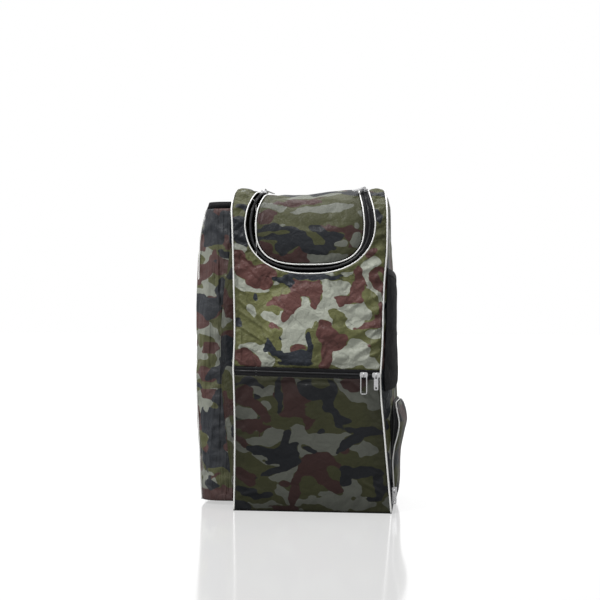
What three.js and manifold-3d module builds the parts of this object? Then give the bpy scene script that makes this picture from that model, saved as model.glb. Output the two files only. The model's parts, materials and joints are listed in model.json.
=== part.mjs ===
// Cricket kit bag: a tall soft backpack with a U-zipped lid, a zipped front, a long open sleeve on its
// left side, and a slip pocket and a zipped pocket on its right side.
// Millimetres. Seen from the front, +X is right, +Y runs to the back and +Z is up.
// The origin is the middle of the main body's underside.

import * as THREE from 'three';
import { mergeVertices } from 'three/addons/utils/BufferGeometryUtils.js';
import Module from 'manifold-3d';

const wasm = await Module();
wasm.setup();

// Main body
const bagWidth = 345;
const bagDepth = 300;
const bagHeight = 712;
const frontEdgeRadius = 75;
const rearEdgeRadius = 30;
const cloth = 2;
const seamGap = 0.4;
const frontCrown = 7;
const foldRise = 6;
const sideBulgeLeft = 38;
const sideBulgeRight = 17;
const sideSquarenessLeft = 4;
const sideSquarenessRight = 2;

// White piping in the seams
const pipingRadius = 1.9;
const pipingProud = 0.8;
const finePipingRadius = 1.5;

// U-shaped lid zip: half widths and drops below the front straight's top end
const lidZipHalfWidth = 144;
const lidZipDrop = 113;
const lidZipSquareness = 2.3;
const lidHalfWidth = 120;
const lidDrop = 93;
const lidSquareness = 3;

// Zip across the front
const frontZipHeight = 305.6;
const frontZipFall = 4;
const zipBand = 20;
const coilWidth = 4.6;
const coilThick = 2.6;
const coilProud = 0.7;

// Long open sleeve on the left
const sleeveReach = 109.5;
const sleeveDepth = 150;
const sleeveFoot = 9;
const sleeveDrop = 22;
const sleeveBand = 15;
const sleeveSquareness = 4;
const sleeveFold = 5;
const sleeveSeatGap = 1.3;

// Slip pocket on the right
const slipBottom = 266;
const slipDrop = 176;
const slipFall = 26;
const slipHem = 14;
const slipHemProud = 1;
const slipFrontMargin = 12;
const slipRearMargin = 32;
const slipRoom = 11;
const patchGap = 1.1;

// Zipped pocket low on the right
const pocketHeight = 224;
const pocketLength = 226;
const pocketFoot = 14;
const pocketMiddle = 3;
const pocketProud = 35;
const pocketCrown = 4;
const pocketSquareness = 5;
const pocketCoilWidth = 4;
const pocketCoilThick = 1.4;

// Shoulder straps on the back
const strapWidth = 66;
const strapSpacing = 150;
const strapPad = 10;
const strapDrop = 50;
const strapSeatGap = 0.7;
const strapBottom = 292;
const strapBow = 46;
const webWidth = 25;
const webThick = 1.6;
const webFoot = 70;
const webBow = 14;

// Zip sliders
const sliderLength = 17;
const sliderWidth = 11;
const sliderThick = 4.6;
const bailReach = 5.2;
const bailWire = 1;
const bailSink = 0.5;
const pullThick = 1.6;
const pullLength = 34;
const pullWidth = 9.5;
const loopLength = 44;
const loopWidth = 15;
const loopWire = 2.2;
const pullBar = 2.2;
const loopSliderShare = 0.69;
const tabSliderShare = 0.846;
const pocketSliderUp = -0.84;
const sidePullLength = 30;
const pocketSliderGap = 1.2;
const sagClearance = 0.5;

// Grid counts
const acrossCells = 12;
const lowerRows = 6;
const upperRows = 5;
const topRows = 4;
const cornerRows = 4;
const rearCornerRows = 3;
const yokeRows = 4;
const pipingSides = 5;

const camo = { color: 0x6d7056, roughness: 0.6, metalness: 0 };
const black = { color: 0x1d1c1e, roughness: 0.7, metalness: 0 };
const white = { color: 0xededea, roughness: 0.5, metalness: 0 };
const coilBlack = { color: 0x232326, roughness: 0.45, metalness: 0 };
const metal = { color: 0xc6c8ca, roughness: 0.28, metalness: 1 };

const halfWidth = bagWidth / 2;
const halfDepth = bagDepth / 2;
const sleeveTop = bagHeight - sleeveDrop;
const slipTop = bagHeight - slipDrop;
const slipFront = slipFrontMargin - halfDepth;
const slipRear = halfDepth - slipRearMargin;
const strapTop = bagHeight - strapDrop;
const frontRise = bagHeight - frontEdgeRadius;
const frontArc = frontEdgeRadius * Math.PI / 2;
const topRun = bagDepth - frontEdgeRadius - rearEdgeRadius;
const rearArc = rearEdgeRadius * Math.PI / 2;
const rearRise = bagHeight - rearEdgeRadius;
const topStart = frontRise + frontArc;
const rearSeam = topStart + topRun;
const backStart = rearSeam + rearArc;
const wrapEnd = backStart + rearRise;
const wallFoot = cloth + seamGap;
const legRows = topRows + cornerRows;
const sideRows = lowerRows + 1 + upperRows;

// A place along the wrapped outline is also counted in stages: 0 to 1 up the front, 1 to 2 round the
// front top edge, 2 to 3 along the top, 3 to 4 round the rear top edge and 4 to 5 down the back.
const stageEnds = [0, frontRise, topStart, rearSeam, backStart, wrapEnd];

// Side edges of the wrapped panels, as shares of the half width
const edgeRows = [
  { stage: 0.00, left: 0.990, right: 1.040 },
  { stage: 0.15, left: 0.980, right: 0.992 },
  { stage: 0.29, left: 0.977, right: 0.948 },
  { stage: 0.44, left: 0.990, right: 0.902 },
  { stage: 0.50, left: 0.998, right: 0.910 },
  { stage: 0.59, left: 0.980, right: 0.930 },
  { stage: 0.77, left: 0.990, right: 0.946 },
  { stage: 0.86, left: 0.996, right: 0.978 },
  { stage: 1.00, left: 1.010, right: 0.992 },
  { stage: 1.30, left: 1.024, right: 0.984 },
  { stage: 1.60, left: 1.012, right: 0.962 },
  { stage: 2.00, left: 0.996, right: 0.930 },
  { stage: 2.50, left: 0.985, right: 0.895 },
  { stage: 3.00, left: 0.980, right: 0.900 },
  { stage: 4.00, left: 0.980, right: 0.935 },
  { stage: 4.50, left: 0.985, right: 0.980 },
  { stage: 5.00, left: 0.990, right: 1.010 },
];

// How far the panels stand proud of the plain outline, as shares of frontCrown
const crownRows = [
  { stage: 0.00, rise: 0.0 },
  { stage: 0.20, rise: 0.9 },
  { stage: 0.48, rise: 0.35 },
  { stage: 0.72, rise: 1.0 },
  { stage: 1.00, rise: 0.8 },
  { stage: 1.50, rise: 0.5 },
  { stage: 2.00, rise: 0.4 },
  { stage: 3.00, rise: 0.0 },
  { stage: 5.00, rise: 0.0 },
];

// Main dents and folds of the wrapped panels. across: share of the half width. stage: as above.
// turn: degrees. long and wide: shares of the width. rise: share of foldRise.
const foldRows = [
  { across: -0.30, stage: 2.02, turn: 4, long: 0.24, wide: 0.24, rise: -2.8 },
  { across: -0.95, stage: 1.90, turn: 0, long: 0.14, wide: 0.26, rise: 1.5 },
  { across: 0.35, stage: 2.10, turn: 0, long: 0.22, wide: 0.20, rise: -0.4 },
  { across: -0.72, stage: 0.72, turn: 38, long: 0.20, wide: 0.060, rise: -0.9 },
  { across: -0.62, stage: 0.64, turn: 44, long: 0.22, wide: 0.055, rise: 0.8 },
  { across: -0.40, stage: 0.56, turn: 20, long: 0.26, wide: 0.060, rise: -0.7 },
  { across: 0.10, stage: 0.63, turn: -14, long: 0.30, wide: 0.070, rise: 0.7 },
  { across: 0.62, stage: 0.70, turn: -36, long: 0.22, wide: 0.060, rise: -0.9 },
  { across: 0.50, stage: 0.56, turn: -20, long: 0.24, wide: 0.060, rise: 0.7 },
  { across: 0.30, stage: 0.30, turn: 70, long: 0.22, wide: 0.080, rise: -0.5 },
  { across: -0.45, stage: 0.16, turn: 25, long: 0.26, wide: 0.080, rise: -0.5 },
];

// The lid zip's legs lean together over the top, as shares of their front width
const leanRows = [
  { stage: 1.0, share: 1.00 },
  { stage: 1.2, share: 0.98 },
  { stage: 1.6, share: 0.90 },
  { stage: 2.0, share: 0.85 },
  { stage: 3.0, share: 0.79 },
];

// Outward swell of the side panels up the height, as shares of the side bulge
const bulgeRows = [
  { up: 0.00, left: 0.0, right: 0.0 },
  { up: 0.06, left: 0.27, right: 0.12 },
  { up: 0.15, left: 0.60, right: 0.30 },
  { up: 0.36, left: 1.0, right: 1.0 },
  { up: 0.48, left: 1.0, right: 0.64 },
  { up: 0.60, left: 0.96, right: 0.60 },
  { up: 0.74, left: 0.66, right: 0.74 },
  { up: 0.88, left: 0.26, right: 0.50 },
  { up: 1.00, left: 0.0, right: 0.0 },
];

// How far the sleeve reaches out from the half width, as shares of sleeveReach
const sleeveRows = [
  { up: 0.00, reach: 0.845 },
  { up: 0.10, reach: 0.875 },
  { up: 0.20, reach: 0.890 },
  { up: 0.36, reach: 0.942 },
  { up: 0.53, reach: 0.932 },
  { up: 0.72, reach: 0.905 },
  { up: 0.86, reach: 0.892 },
  { up: 0.94, reach: 0.825 },
  { up: 1.00, reach: 0.695 },
];

// Long upright folds of the sleeve. turn: degrees round it from its outermost line, where -90 is its
// front edge. wide: degrees. up and tall: shares of its height. rise: share of sleeveFold.
const sleeveFoldRows = [
  { turn: -74, wide: 8, up: 0.75, tall: 0.30, rise: -1.0 },
  { turn: -60, wide: 8, up: 0.45, tall: 0.40, rise: 0.8 },
  { turn: -48, wide: 7, up: 0.80, tall: 0.22, rise: -0.6 },
  { turn: -20, wide: 10, up: 0.55, tall: 0.40, rise: -0.8 },
  { turn: 15, wide: 12, up: 0.70, tall: 0.35, rise: -0.7 },
  { turn: 45, wide: 10, up: 0.40, tall: 0.35, rise: -0.7 },
];

// How far the zipped pocket stands off the line between the side's edges, as shares of pocketProud
const pocketRows = [
  { up: 0.00, rise: 0.22 },
  { up: 0.20, rise: 0.26 },
  { up: 0.40, rise: 0.30 },
  { up: 0.53, rise: 0.44 },
  { up: 0.64, rise: 0.64 },
  { up: 0.75, rise: 0.88 },
  { up: 0.88, rise: 0.86 },
  { up: 1.00, rise: 0.66 },
];

const lerp = THREE.MathUtils.lerp;

// A smooth curve through a table's rows
function along(rows, key, at, column) {
  let i = 0;
  while (i < rows.length - 2 && rows[i + 1][key] < at) {
    i += 1;
  }
  const slope = (k) => {
    const before = rows[Math.max(k - 1, 0)];
    const after = rows[Math.min(k + 1, rows.length - 1)];
    return (after[column] - before[column]) / (after[key] - before[key]);
  };
  const span = rows[i + 1][key] - rows[i][key];
  const t = THREE.MathUtils.clamp((at - rows[i][key]) / span, 0, 1);
  const ease = t * t * (3 - 2 * t);
  const startTangent = t * (1 - t) * (1 - t) * span * slope(i);
  const endTangent = t * t * (1 - t) * span * slope(i + 1);
  return lerp(rows[i][column], rows[i + 1][column], ease) + startTangent - endTangent;
}

function stageAt(s) {
  let k = 0;
  while (k < 4 && s > stageEnds[k + 1]) {
    k += 1;
  }
  return k + (s - stageEnds[k]) / (stageEnds[k + 1] - stageEnds[k]);
}

function wayAt(stage) {
  const k = Math.min(Math.floor(stage), 4);
  return lerp(stageEnds[k], stageEnds[k + 1], stage - k);
}

// The plain outline in the YZ plane at distance s along it, with its outward normal
function outline(s) {
  if (s <= frontRise) {
    return { y: -halfDepth, z: s, ny: -1, nz: 0 };
  }
  if (s <= topStart) {
    const turn = (s - frontRise) / frontEdgeRadius;
    const ny = -Math.cos(turn);
    const nz = Math.sin(turn);
    const y = -halfDepth + frontEdgeRadius * (1 + ny);
    return { y, z: frontRise + frontEdgeRadius * nz, ny, nz };
  }
  if (s <= rearSeam) {
    return { y: -halfDepth + frontEdgeRadius + s - topStart, z: bagHeight, ny: 0, nz: 1 };
  }
  if (s <= backStart) {
    const turn = (s - rearSeam) / rearEdgeRadius;
    const ny = Math.sin(turn);
    const nz = Math.cos(turn);
    const y = halfDepth - rearEdgeRadius * (1 - ny);
    return { y, z: rearRise + rearEdgeRadius * nz, ny, nz };
  }
  return { y: halfDepth, z: rearRise - (s - backStart), ny: 1, nz: 0 };
}

function edge(s, side) {
  const share = along(edgeRows, 'stage', stageAt(s), side < 0 ? 'left' : 'right');
  return side * halfWidth * share;
}

// How far the wrapped cloth stands out from the plain outline at (x, s)
function lift(x, s) {
  const off = x / halfWidth;
  let out = frontCrown * along(crownRows, 'stage', stageAt(s), 'rise') * (1 - off ** 4);
  for (const fold of foldRows) {
    const turn = THREE.MathUtils.degToRad(fold.turn);
    const dx = x - fold.across * halfWidth;
    const ds = s - wayAt(fold.stage);
    const lengthwise = (dx * Math.cos(turn) + ds * Math.sin(turn)) / (fold.long * bagWidth);
    const crosswise = (ds * Math.cos(turn) - dx * Math.sin(turn)) / (fold.wide * bagWidth);
    out += foldRise * fold.rise * Math.exp(-(lengthwise ** 2) - crosswise ** 2);
  }
  return out;
}

// A point on the wrapped cloth at (x, s), moved inward by a depth
function wrapPoint(x, s, inward) {
  const p = outline(s);
  const out = lift(x, s) - inward;
  return new THREE.Vector3(x, p.y + p.ny * out, p.z + p.nz * out);
}

function facingOut(geometry) {
  const at = geometry.getAttribute('position');
  const index = geometry.getIndex();
  const corner = [new THREE.Vector3(), new THREE.Vector3(), new THREE.Vector3()];
  let volume = 0;
  for (let i = 0; i < index.count; i += 3) {
    corner.forEach((point, k) => point.fromBufferAttribute(at, index.getX(i + k)));
    volume += corner[0].dot(corner[1].cross(corner[2]));
  }
  if (volume < 0) {
    for (let i = 0; i < index.count; i += 3) {
      const second = index.getX(i + 1);
      index.setX(i + 1, index.getX(i + 2));
      index.setX(i + 2, second);
    }
  }
  geometry.computeVertexNormals();
  return geometry;
}

// Moves each corner of a closed geometry to its place
function shaped(source, place) {
  source.deleteAttribute('normal');
  source.deleteAttribute('uv');
  const geometry = mergeVertices(source, 1e-5);
  const at = geometry.getAttribute('position');
  const corner = new THREE.Vector3();
  for (let i = 0; i < at.count; i += 1) {
    corner.fromBufferAttribute(at, i);
    const moved = place(corner);
    at.setXYZ(i, moved.x, moved.y, moved.z);
  }
  return facingOut(geometry);
}

// A thin closed wall: place(u, v, deep) gives a point for u and v from 0 to 1, with deep 0 on its
// outer face and 1 on its inner face
function wall(cellsAcross, cellsAlong, place) {
  const box = new THREE.BoxGeometry(1, 1, 1, cellsAcross, cellsAlong, 1);
  return shaped(box, (p) => place(p.x + 0.5, p.y + 0.5, 0.5 - p.z));
}

// A closed cord: place(i, across, out) gives a point of its section at station i
function cord(stations, sides, place) {
  const cylinder = new THREE.CylinderGeometry(1, 1, 1, sides, stations - 1);
  return shaped(cylinder, (p) => place(Math.round((p.y + 0.5) * (stations - 1)), p.x, p.z));
}

// A bar from y = 0 down to y = -length, with rounded corners
function roundedBar(width, length, radius) {
  const shape = new THREE.Shape();
  const x = width / 2 - radius;
  shape.absarc(x, radius - length, radius, -Math.PI / 2, 0, false);
  shape.absarc(x, -radius, radius, 0, Math.PI / 2, false);
  shape.absarc(-x, -radius, radius, Math.PI / 2, Math.PI, false);
  shape.absarc(-x, radius - length, radius, Math.PI, Math.PI * 1.5, false);
  return shape;
}

function plate(shape, thick) {
  return new THREE.ExtrudeGeometry(shape, { depth: thick, bevelEnabled: false, curveSegments: 3 });
}

const bag = new THREE.Group();

function add(name, geometry, look) {
  const mesh = new THREE.Mesh(geometry, new THREE.MeshStandardMaterial(look));
  mesh.name = name;
  bag.add(mesh);
  return mesh;
}

// Polar radius of a rounded square of the given squareness
function squareRadius(cosine, sine, squareness) {
  return (Math.abs(cosine) ** squareness + Math.abs(sine) ** squareness) ** (-1 / squareness);
}

// A point of the square (a, b from -1 to 1) carried onto a rounded square
function roundedSquare(a, b, squareness) {
  const px = a * Math.sqrt(1 - b * b / 2);
  const py = b * Math.sqrt(1 - a * a / 2);
  const length = Math.hypot(px, py);
  if (length === 0) {
    return { a: 0, b: 0 };
  }
  const grow = squareRadius(px / length, py / length, squareness);
  return { a: px * grow, b: py * grow };
}

// Corner piping: its middle lies this far in from the corner, and panels end this far from it
const pipingSink = pipingRadius - pipingProud;
const pipingTrim = pipingSink + pipingRadius + seamGap;

// Height of the front zip's middle line at x
function frontZipLine(x) {
  return frontZipHeight - frontZipFall * x / halfWidth;
}

// Rows up one side edge of the front: lower panel, zip band, then upper panel
function frontRow(row, side) {
  const bandLow = frontZipLine(edge(frontZipHeight, side)) - zipBand / 2;
  const bandHigh = bandLow + zipBand;
  if (row <= lowerRows) {
    return lerp(wallFoot, bandLow, row / lowerRows);
  }
  return lerp(bandHigh, frontRise, (row - lowerRows - 1) / upperRows);
}

// Rows from the rear seam forward over the top and down to the front straight's top end
function legRow(row) {
  if (row <= topRows) {
    return lerp(rearSeam, topStart, row / topRows);
  }
  return lerp(topStart, frontRise, (row - topRows) / cornerRows);
}

function backRow(row) {
  if (row <= rearCornerRows) {
    return lerp(rearSeam, backStart, row / rearCornerRows);
  }
  return lerp(backStart, wrapEnd - wallFoot, (row - rearCornerRows) / sideRows);
}

// A strip across the front between two heights above the zip's middle line
function bandStrip(low, high, proud, thick) {
  return wall(acrossCells, 1, (u, v, deep) => {
    const rise = lerp(low, high, v);
    const left = edge(frontZipLine(-halfWidth) + rise, -1) + pipingTrim;
    const right = edge(frontZipLine(halfWidth) + rise, 1) - pipingTrim;
    const x = lerp(left, right, u);
    return wrapPoint(x, frontZipLine(x) + rise, deep * thick - proud);
  });
}

function frontLower() {
  return wall(acrossCells, lowerRows, (u, v, deep) => {
    const row = v * lowerRows;
    const left = edge(frontRow(row, -1), -1) + pipingTrim;
    const right = edge(frontRow(row, 1), 1) - pipingTrim;
    const x = lerp(left, right, u);
    const s = lerp(frontRow(row, -1), frontRow(row, 1), u);
    return wrapPoint(x, s, deep * cloth);
  });
}

// Stations round the lid zip, from the rear end of its left leg to that of its right leg. Each holds a
// point on the panel's outer edge, on the zip's outer seam and on its inner seam.
function lidStations() {
  const bandHigh = (x) => frontZipLine(x) + zipBand / 2 + 2 * seamGap;
  const leg = (row, side) => {
    const s = legRow(row);
    const share = along(leanRows, 'stage', stageAt(s), 'share');
    return {
      rim: { x: edge(s, side) - side * pipingTrim, s },
      outer: { x: side * lidZipHalfWidth * share, s },
      inner: { x: side * lidHalfWidth * share, s },
    };
  };
  const bowl = (a, b, rim) => {
    const outer = roundedSquare(a, b, lidZipSquareness);
    const inner = roundedSquare(a, b, lidSquareness);
    return {
      rim,
      outer: { x: lidZipHalfWidth * outer.a, s: frontRise - lidZipDrop * outer.b },
      inner: { x: lidHalfWidth * inner.a, s: frontRise - lidDrop * inner.b },
    };
  };
  const side = (sign) => {
    const list = [];
    for (let row = 0; row <= legRows; row += 1) {
      list.push(leg(row, sign));
    }
    for (let row = 1; row <= upperRows; row += 1) {
      const low = row === upperRows ? 2 * seamGap : 0;
      const s = frontRow(lowerRows + 1 + upperRows - row, sign) + low;
      list.push(bowl(sign, row / upperRows, { x: edge(s, sign) - sign * pipingTrim, s }));
    }
    return list;
  };
  const left = side(-1);
  const right = side(1);
  const start = left[left.length - 1].rim.x;
  const end = right[right.length - 1].rim.x;
  const under = [];
  for (let cell = 1; cell < acrossCells; cell += 1) {
    const x = lerp(start, end, cell / acrossCells);
    under.push(bowl(lerp(-1, 1, cell / acrossCells), 1, { x, s: bandHigh(x) }));
  }
  return [...left, ...under, ...right.reverse()];
}

const stations = lidStations();
const lastStation = stations.length - 1;

// A point on the wrap, so many millimetres from a station's outer seam towards its inner seam
function acrossZip(station, distance) {
  const width = Math.hypot(station.inner.x - station.outer.x, station.inner.s - station.outer.s);
  const share = distance / width;
  return {
    x: lerp(station.outer.x, station.inner.x, share),
    s: lerp(station.outer.s, station.inner.s, share),
    width,
  };
}

function frontUpper() {
  return wall(lastStation, yokeRows, (u, v, deep) => {
    const station = stations[Math.round(u * lastStation)];
    const seam = acrossZip(station, -pipingRadius - seamGap);
    const x = lerp(station.rim.x, seam.x, v);
    const s = lerp(station.rim.s, seam.s, v);
    return wrapPoint(x, s, deep * cloth);
  });
}

// A strip of the lid zip between two distances from its outer seam. Each distance is from(width).
function lidStrip(from, to, proud, thick) {
  return wall(lastStation, 1, (u, v, deep) => {
    const station = stations[Math.round(u * lastStation)];
    const width = acrossZip(station, 0).width;
    const at = acrossZip(station, lerp(from(width), to(width), v));
    return wrapPoint(at.x, at.s, deep * thick - proud);
  });
}

function lidPiping(onInner) {
  return cord(lastStation + 1, pipingSides, (i, across, out) => {
    const station = stations[i];
    const middle = onInner ? acrossZip(station, 0).width : 0;
    const at = acrossZip(station, middle + across * pipingRadius);
    return wrapPoint(at.x, at.s, pipingSink - out * pipingRadius);
  });
}

function lid() {
  const trim = pipingRadius + seamGap + 0.2;
  const rows = legRows + upperRows;
  return wall(acrossCells, rows, (u, v, deep) => {
    const a = 2 * u - 1;
    const row = Math.round(v * rows);
    if (row <= legRows) {
      const s = legRow(row);
      const share = along(leanRows, 'stage', stageAt(s), 'share');
      return wrapPoint(a * (lidHalfWidth * share - trim), s, deep * cloth);
    }
    const at = roundedSquare(a, (row - legRows) / upperRows, lidSquareness);
    const x = (lidHalfWidth - trim) * at.a;
    return wrapPoint(x, frontRise - (lidDrop - trim) * at.b, deep * cloth);
  });
}

function backPanel() {
  const rows = rearCornerRows + sideRows;
  return wall(acrossCells, rows, (u, v, deep) => {
    const row = v * rows;
    const s = Math.max(backRow(row), rearSeam + seamGap);
    const x = lerp(edge(s, -1) + pipingTrim, edge(s, 1) - pipingTrim, u);
    return wrapPoint(x, s, deep * cloth);
  });
}

function basePanel() {
  return wall(2, 2, (u, v, deep) => {
    const s = v < 0.25 ? 0 : wrapEnd;
    const left = lerp(edge(0, -1), edge(wrapEnd, -1), v);
    const right = lerp(edge(0, 1), edge(wrapEnd, 1), v);
    const y = lerp(-halfDepth, halfDepth, v);
    return new THREE.Vector3(lerp(left, right, u), s === 0 ? -halfDepth : y, deep * cloth);
  });
}

// Every row round one side's edge, from the front's foot over the top and down the back
function edgeWays(side) {
  const ways = [];
  for (let row = 0; row <= sideRows; row += 1) {
    ways.push(frontRow(row, side));
  }
  for (let row = legRows - 1; row >= 0; row -= 1) {
    ways.push(legRow(row));
  }
  for (let row = 1; row <= rearCornerRows + sideRows; row += 1) {
    ways.push(backRow(row));
  }
  return ways;
}

function cornerPiping(side) {
  const ways = edgeWays(side);
  return cord(ways.length, pipingSides, (i, across, out) => {
    const x = edge(ways[i], side) - side * pipingSink + across * pipingRadius;
    return wrapPoint(x, ways[i], pipingSink - out * pipingRadius);
  });
}

// A side panel spans the rim that the wrapped panels leave, and swells outward
function sidePanel(side) {
  const ways = edgeWays(side);
  const topCells = legRows + rearCornerRows;
  const rim = (k) => wrapPoint(edge(ways[k], side), ways[k], pipingTrim);
  const front = (j) => rim(j);
  const top = (i) => rim(sideRows + i);
  const back = (j) => rim(ways.length - 1 - j);
  const footFront = front(0);
  const footBack = back(0);
  const foot = (i) => footFront.clone().lerp(footBack, i / topCells);
  const column = side < 0 ? 'left' : 'right';
  const bulge = side < 0 ? sideBulgeLeft : sideBulgeRight;
  const squareness = side < 0 ? sideSquarenessLeft : sideSquarenessRight;
  return wall(topCells, sideRows, (u, v, deep) => {
    const i = Math.round(u * topCells);
    const j = Math.round(v * sideRows);
    const point = front(j).multiplyScalar(1 - u).addScaledVector(back(j), u);
    point.addScaledVector(foot(i), 1 - v).addScaledVector(top(i), v);
    point.addScaledVector(footFront, -(1 - u) * (1 - v)).addScaledVector(footBack, -u * (1 - v));
    point.addScaledVector(top(0), -(1 - u) * v).addScaledVector(top(topCells), -u * v);
    const across = 1 - Math.abs(2 * u - 1) ** squareness;
    const swell = along(bulgeRows, 'up', point.z / bagHeight, column) * across;
    point.x += side * (bulge * swell * Math.min(1, 4 * (1 - v)) - deep * cloth);
    return point;
  });
}

const sideLeft = add('side_left', sidePanel(-1), camo);
const sideRight = add('side_right', sidePanel(1), camo);

// Where a side panel's outer face lies at (y, z)
function seat(panel, side, y, z) {
  panel.updateMatrixWorld();
  const start = new THREE.Vector3(side * bagWidth, y, z);
  const ray = new THREE.Raycaster(start, new THREE.Vector3(-side, 0, 0));
  return ray.intersectObject(panel)[0].point.x;
}

add('front_lower', frontLower(), camo);
add('front_upper', frontUpper(), camo);
add('lid', lid(), camo);
add('back_panel', backPanel(), black);
add('base', basePanel(), black);
add('piping_left', cornerPiping(-1), white);
add('piping_right', cornerPiping(1), white);

// Front zip: two tapes and the coil between them
const coilHalf = coilWidth / 2;
const bandHalf = zipBand / 2;
add('front_zip_tape_lower', bandStrip(-bandHalf + seamGap, -coilHalf - seamGap, 0, cloth), black);
add('front_zip_tape_upper', bandStrip(coilHalf + seamGap, bandHalf, 0, cloth), black);
add('front_zip_coil', bandStrip(-coilHalf, coilHalf, coilProud, coilThick), coilBlack);

// Lid zip: piping, tape, coil, tape, piping
const clearOfPiping = pipingRadius + seamGap;
const beforeCoil = (width) => width / 2 - coilHalf;
const afterCoil = (width) => width / 2 + coilHalf;
const tapeOuter = lidStrip(() => clearOfPiping, (width) => beforeCoil(width) - seamGap, 0, cloth);
const tapeInner = lidStrip((width) => afterCoil(width) + seamGap, (width) => width - clearOfPiping, 0, cloth);
add('lid_zip_tape_outer', tapeOuter, black);
add('lid_zip_tape_inner', tapeInner, black);
add('lid_zip_coil', lidStrip(beforeCoil, afterCoil, coilProud, coilThick), coilBlack);
add('lid_piping_outer', lidPiping(false), white);
add('lid_piping_inner', lidPiping(true), white);

// The sleeve: a channel open at its top, closed towards the bag by the bag's own side
const sleeveColumns = 24;
const sleeveCells = 12;
const baseRoundCells = 16;
const baseSeatCells = 6;
const bandCells = 1;
const bandFoot = sleeveTop - sleeveBand;

function sleeveSeat(y, z) {
  return -seat(sideLeft, -1, y, z) + sleeveSeatGap;
}

// A point of the sleeve's wall, turn degrees round from its outermost line, moved outward by out
function sleevePoint(turnDegrees, z, out) {
  const turn = THREE.MathUtils.degToRad(turnDegrees);
  const up = (z - sleeveFoot) / (sleeveTop - sleeveFoot);
  const cosine = Math.max(Math.cos(turn), 0);
  const sine = Math.sin(turn);
  const grow = squareRadius(cosine, sine, sleeveSquareness);
  let fold = 0;
  for (const row of sleeveFoldRows) {
    const round = (turnDegrees - row.turn) / row.wide;
    const rise = (up - row.up) / row.tall;
    fold += sleeveFold * row.rise * Math.exp(-round * round - rise * rise);
  }
  const stand = out + fold * Math.sqrt(cosine);
  const y = (sleeveDepth / 2 + stand) * grow * sine;
  const inner = lerp(sleeveSeat(-sleeveDepth / 2, z), sleeveSeat(sleeveDepth / 2, z), 0.5 + y / sleeveDepth);
  const reach = halfWidth + sleeveReach * along(sleeveRows, 'up', up, 'reach');
  return new THREE.Vector3(-(inner + (reach + stand - inner) * grow * cosine), y, z);
}

function sleeveWall(low, high, rows, proud, thick) {
  return wall(sleeveColumns, rows, (u, v, deep) => {
    return sleevePoint(lerp(-90, 90, u), lerp(low, high, v), proud - deep * thick);
  });
}

function sleeveBase() {
  const outlinePoints = [];
  const inset = -cloth - seamGap;
  for (let k = 1; k < baseRoundCells; k += 1) {
    const point = sleevePoint(lerp(-90, 90, k / baseRoundCells), sleeveFoot, inset);
    outlinePoints.push(new THREE.Vector2(point.x, point.y));
  }
  for (let k = 0; k <= baseSeatCells; k += 1) {
    const y = lerp(sleeveDepth / 2 + inset, -sleeveDepth / 2 - inset, k / baseSeatCells);
    outlinePoints.push(new THREE.Vector2(-sleeveSeat(y, sleeveFoot + cloth) - seamGap, y));
  }
  const bottom = plate(new THREE.Shape(outlinePoints), cloth);
  return shaped(bottom, (p) => new THREE.Vector3(p.x, p.y, p.z + sleeveFoot));
}

const sleevePipingTurn = -36;
function sleevePiping() {
  return cord(sleeveCells + 1, pipingSides, (i, across, out) => {
    const z = lerp(sleeveFoot, bandFoot - seamGap, i / sleeveCells);
    const turn = THREE.MathUtils.degToRad(sleevePipingTurn);
    const grow = squareRadius(Math.cos(turn), Math.sin(turn), sleeveSquareness);
    const middle = sleevePoint(sleevePipingTurn, z, (finePipingRadius + seamGap) / grow);
    const dx = across * Math.sin(turn) - out * Math.cos(turn);
    const dy = across * Math.cos(turn) + out * Math.sin(turn);
    return new THREE.Vector3(middle.x + finePipingRadius * dx, middle.y + finePipingRadius * dy, z);
  });
}

add('sleeve', sleeveWall(sleeveFoot, bandFoot - seamGap, sleeveCells, 0, cloth), camo);
add('sleeve_band', sleeveWall(bandFoot, sleeveTop, bandCells, 0, cloth), black);
add('sleeve_base', sleeveBase(), black);
add('sleeve_piping', sleevePiping(), white);

// Slip pocket: a patch held along its front, back and foot, standing off the side at its open top
const slipCells = 8;
function slipPoint(u, up, out) {
  const y = lerp(slipFront, slipRear, u);
  const top = slipTop - slipFall * u;
  const z = lerp(slipBottom, top, up);
  const swell = Math.sin(Math.PI * u) ** 0.6 * Math.min(1, 3 * up) ** 0.7;
  const x = seat(sideRight, 1, y, z) + patchGap + cloth + slipRoom * swell + out;
  return new THREE.Vector3(x, y, z);
}

const hemShare = slipHem / (slipTop - slipBottom);
const hemGapShare = seamGap / (slipTop - slipBottom);
add('slip_pocket', wall(slipCells, slipCells, (u, v, deep) => {
  return slipPoint(u, v * (1 - hemShare), -deep * cloth);
}), black);
add('slip_hem', wall(slipCells, 1, (u, v, deep) => {
  return slipPoint(u, lerp(1 - hemShare + hemGapShare, 1, v), slipHemProud - deep * (cloth + slipHemProud));
}), black);

// Zipped pocket: a face on a gusset that runs round it, with piping between them
const pocketCells = 8;
const pocketRing = pocketCells * 4;
const facePull = 2 * pipingRadius + seamGap;

function pocketAt(a, b, inset) {
  const at = roundedSquare(a, b, pocketSquareness);
  const y = pocketMiddle + (pocketLength / 2 - inset) * at.a;
  const z = pocketFoot + pocketHeight / 2 + (pocketHeight / 2 - inset) * at.b;
  const up = (z - pocketFoot) / pocketHeight;
  const ground = seat(sideRight, 1, y, z) + patchGap;
  const rearEdge = edge(backStart + rearRise - z, 1);
  const line = lerp(edge(z, 1), rearEdge, 0.5 + y / bagDepth);
  const face = line + pocketProud * along(pocketRows, 'up', up, 'rise');
  return { y, z, ground, stand: Math.max(face - ground, facePull + cloth) };
}

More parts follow.
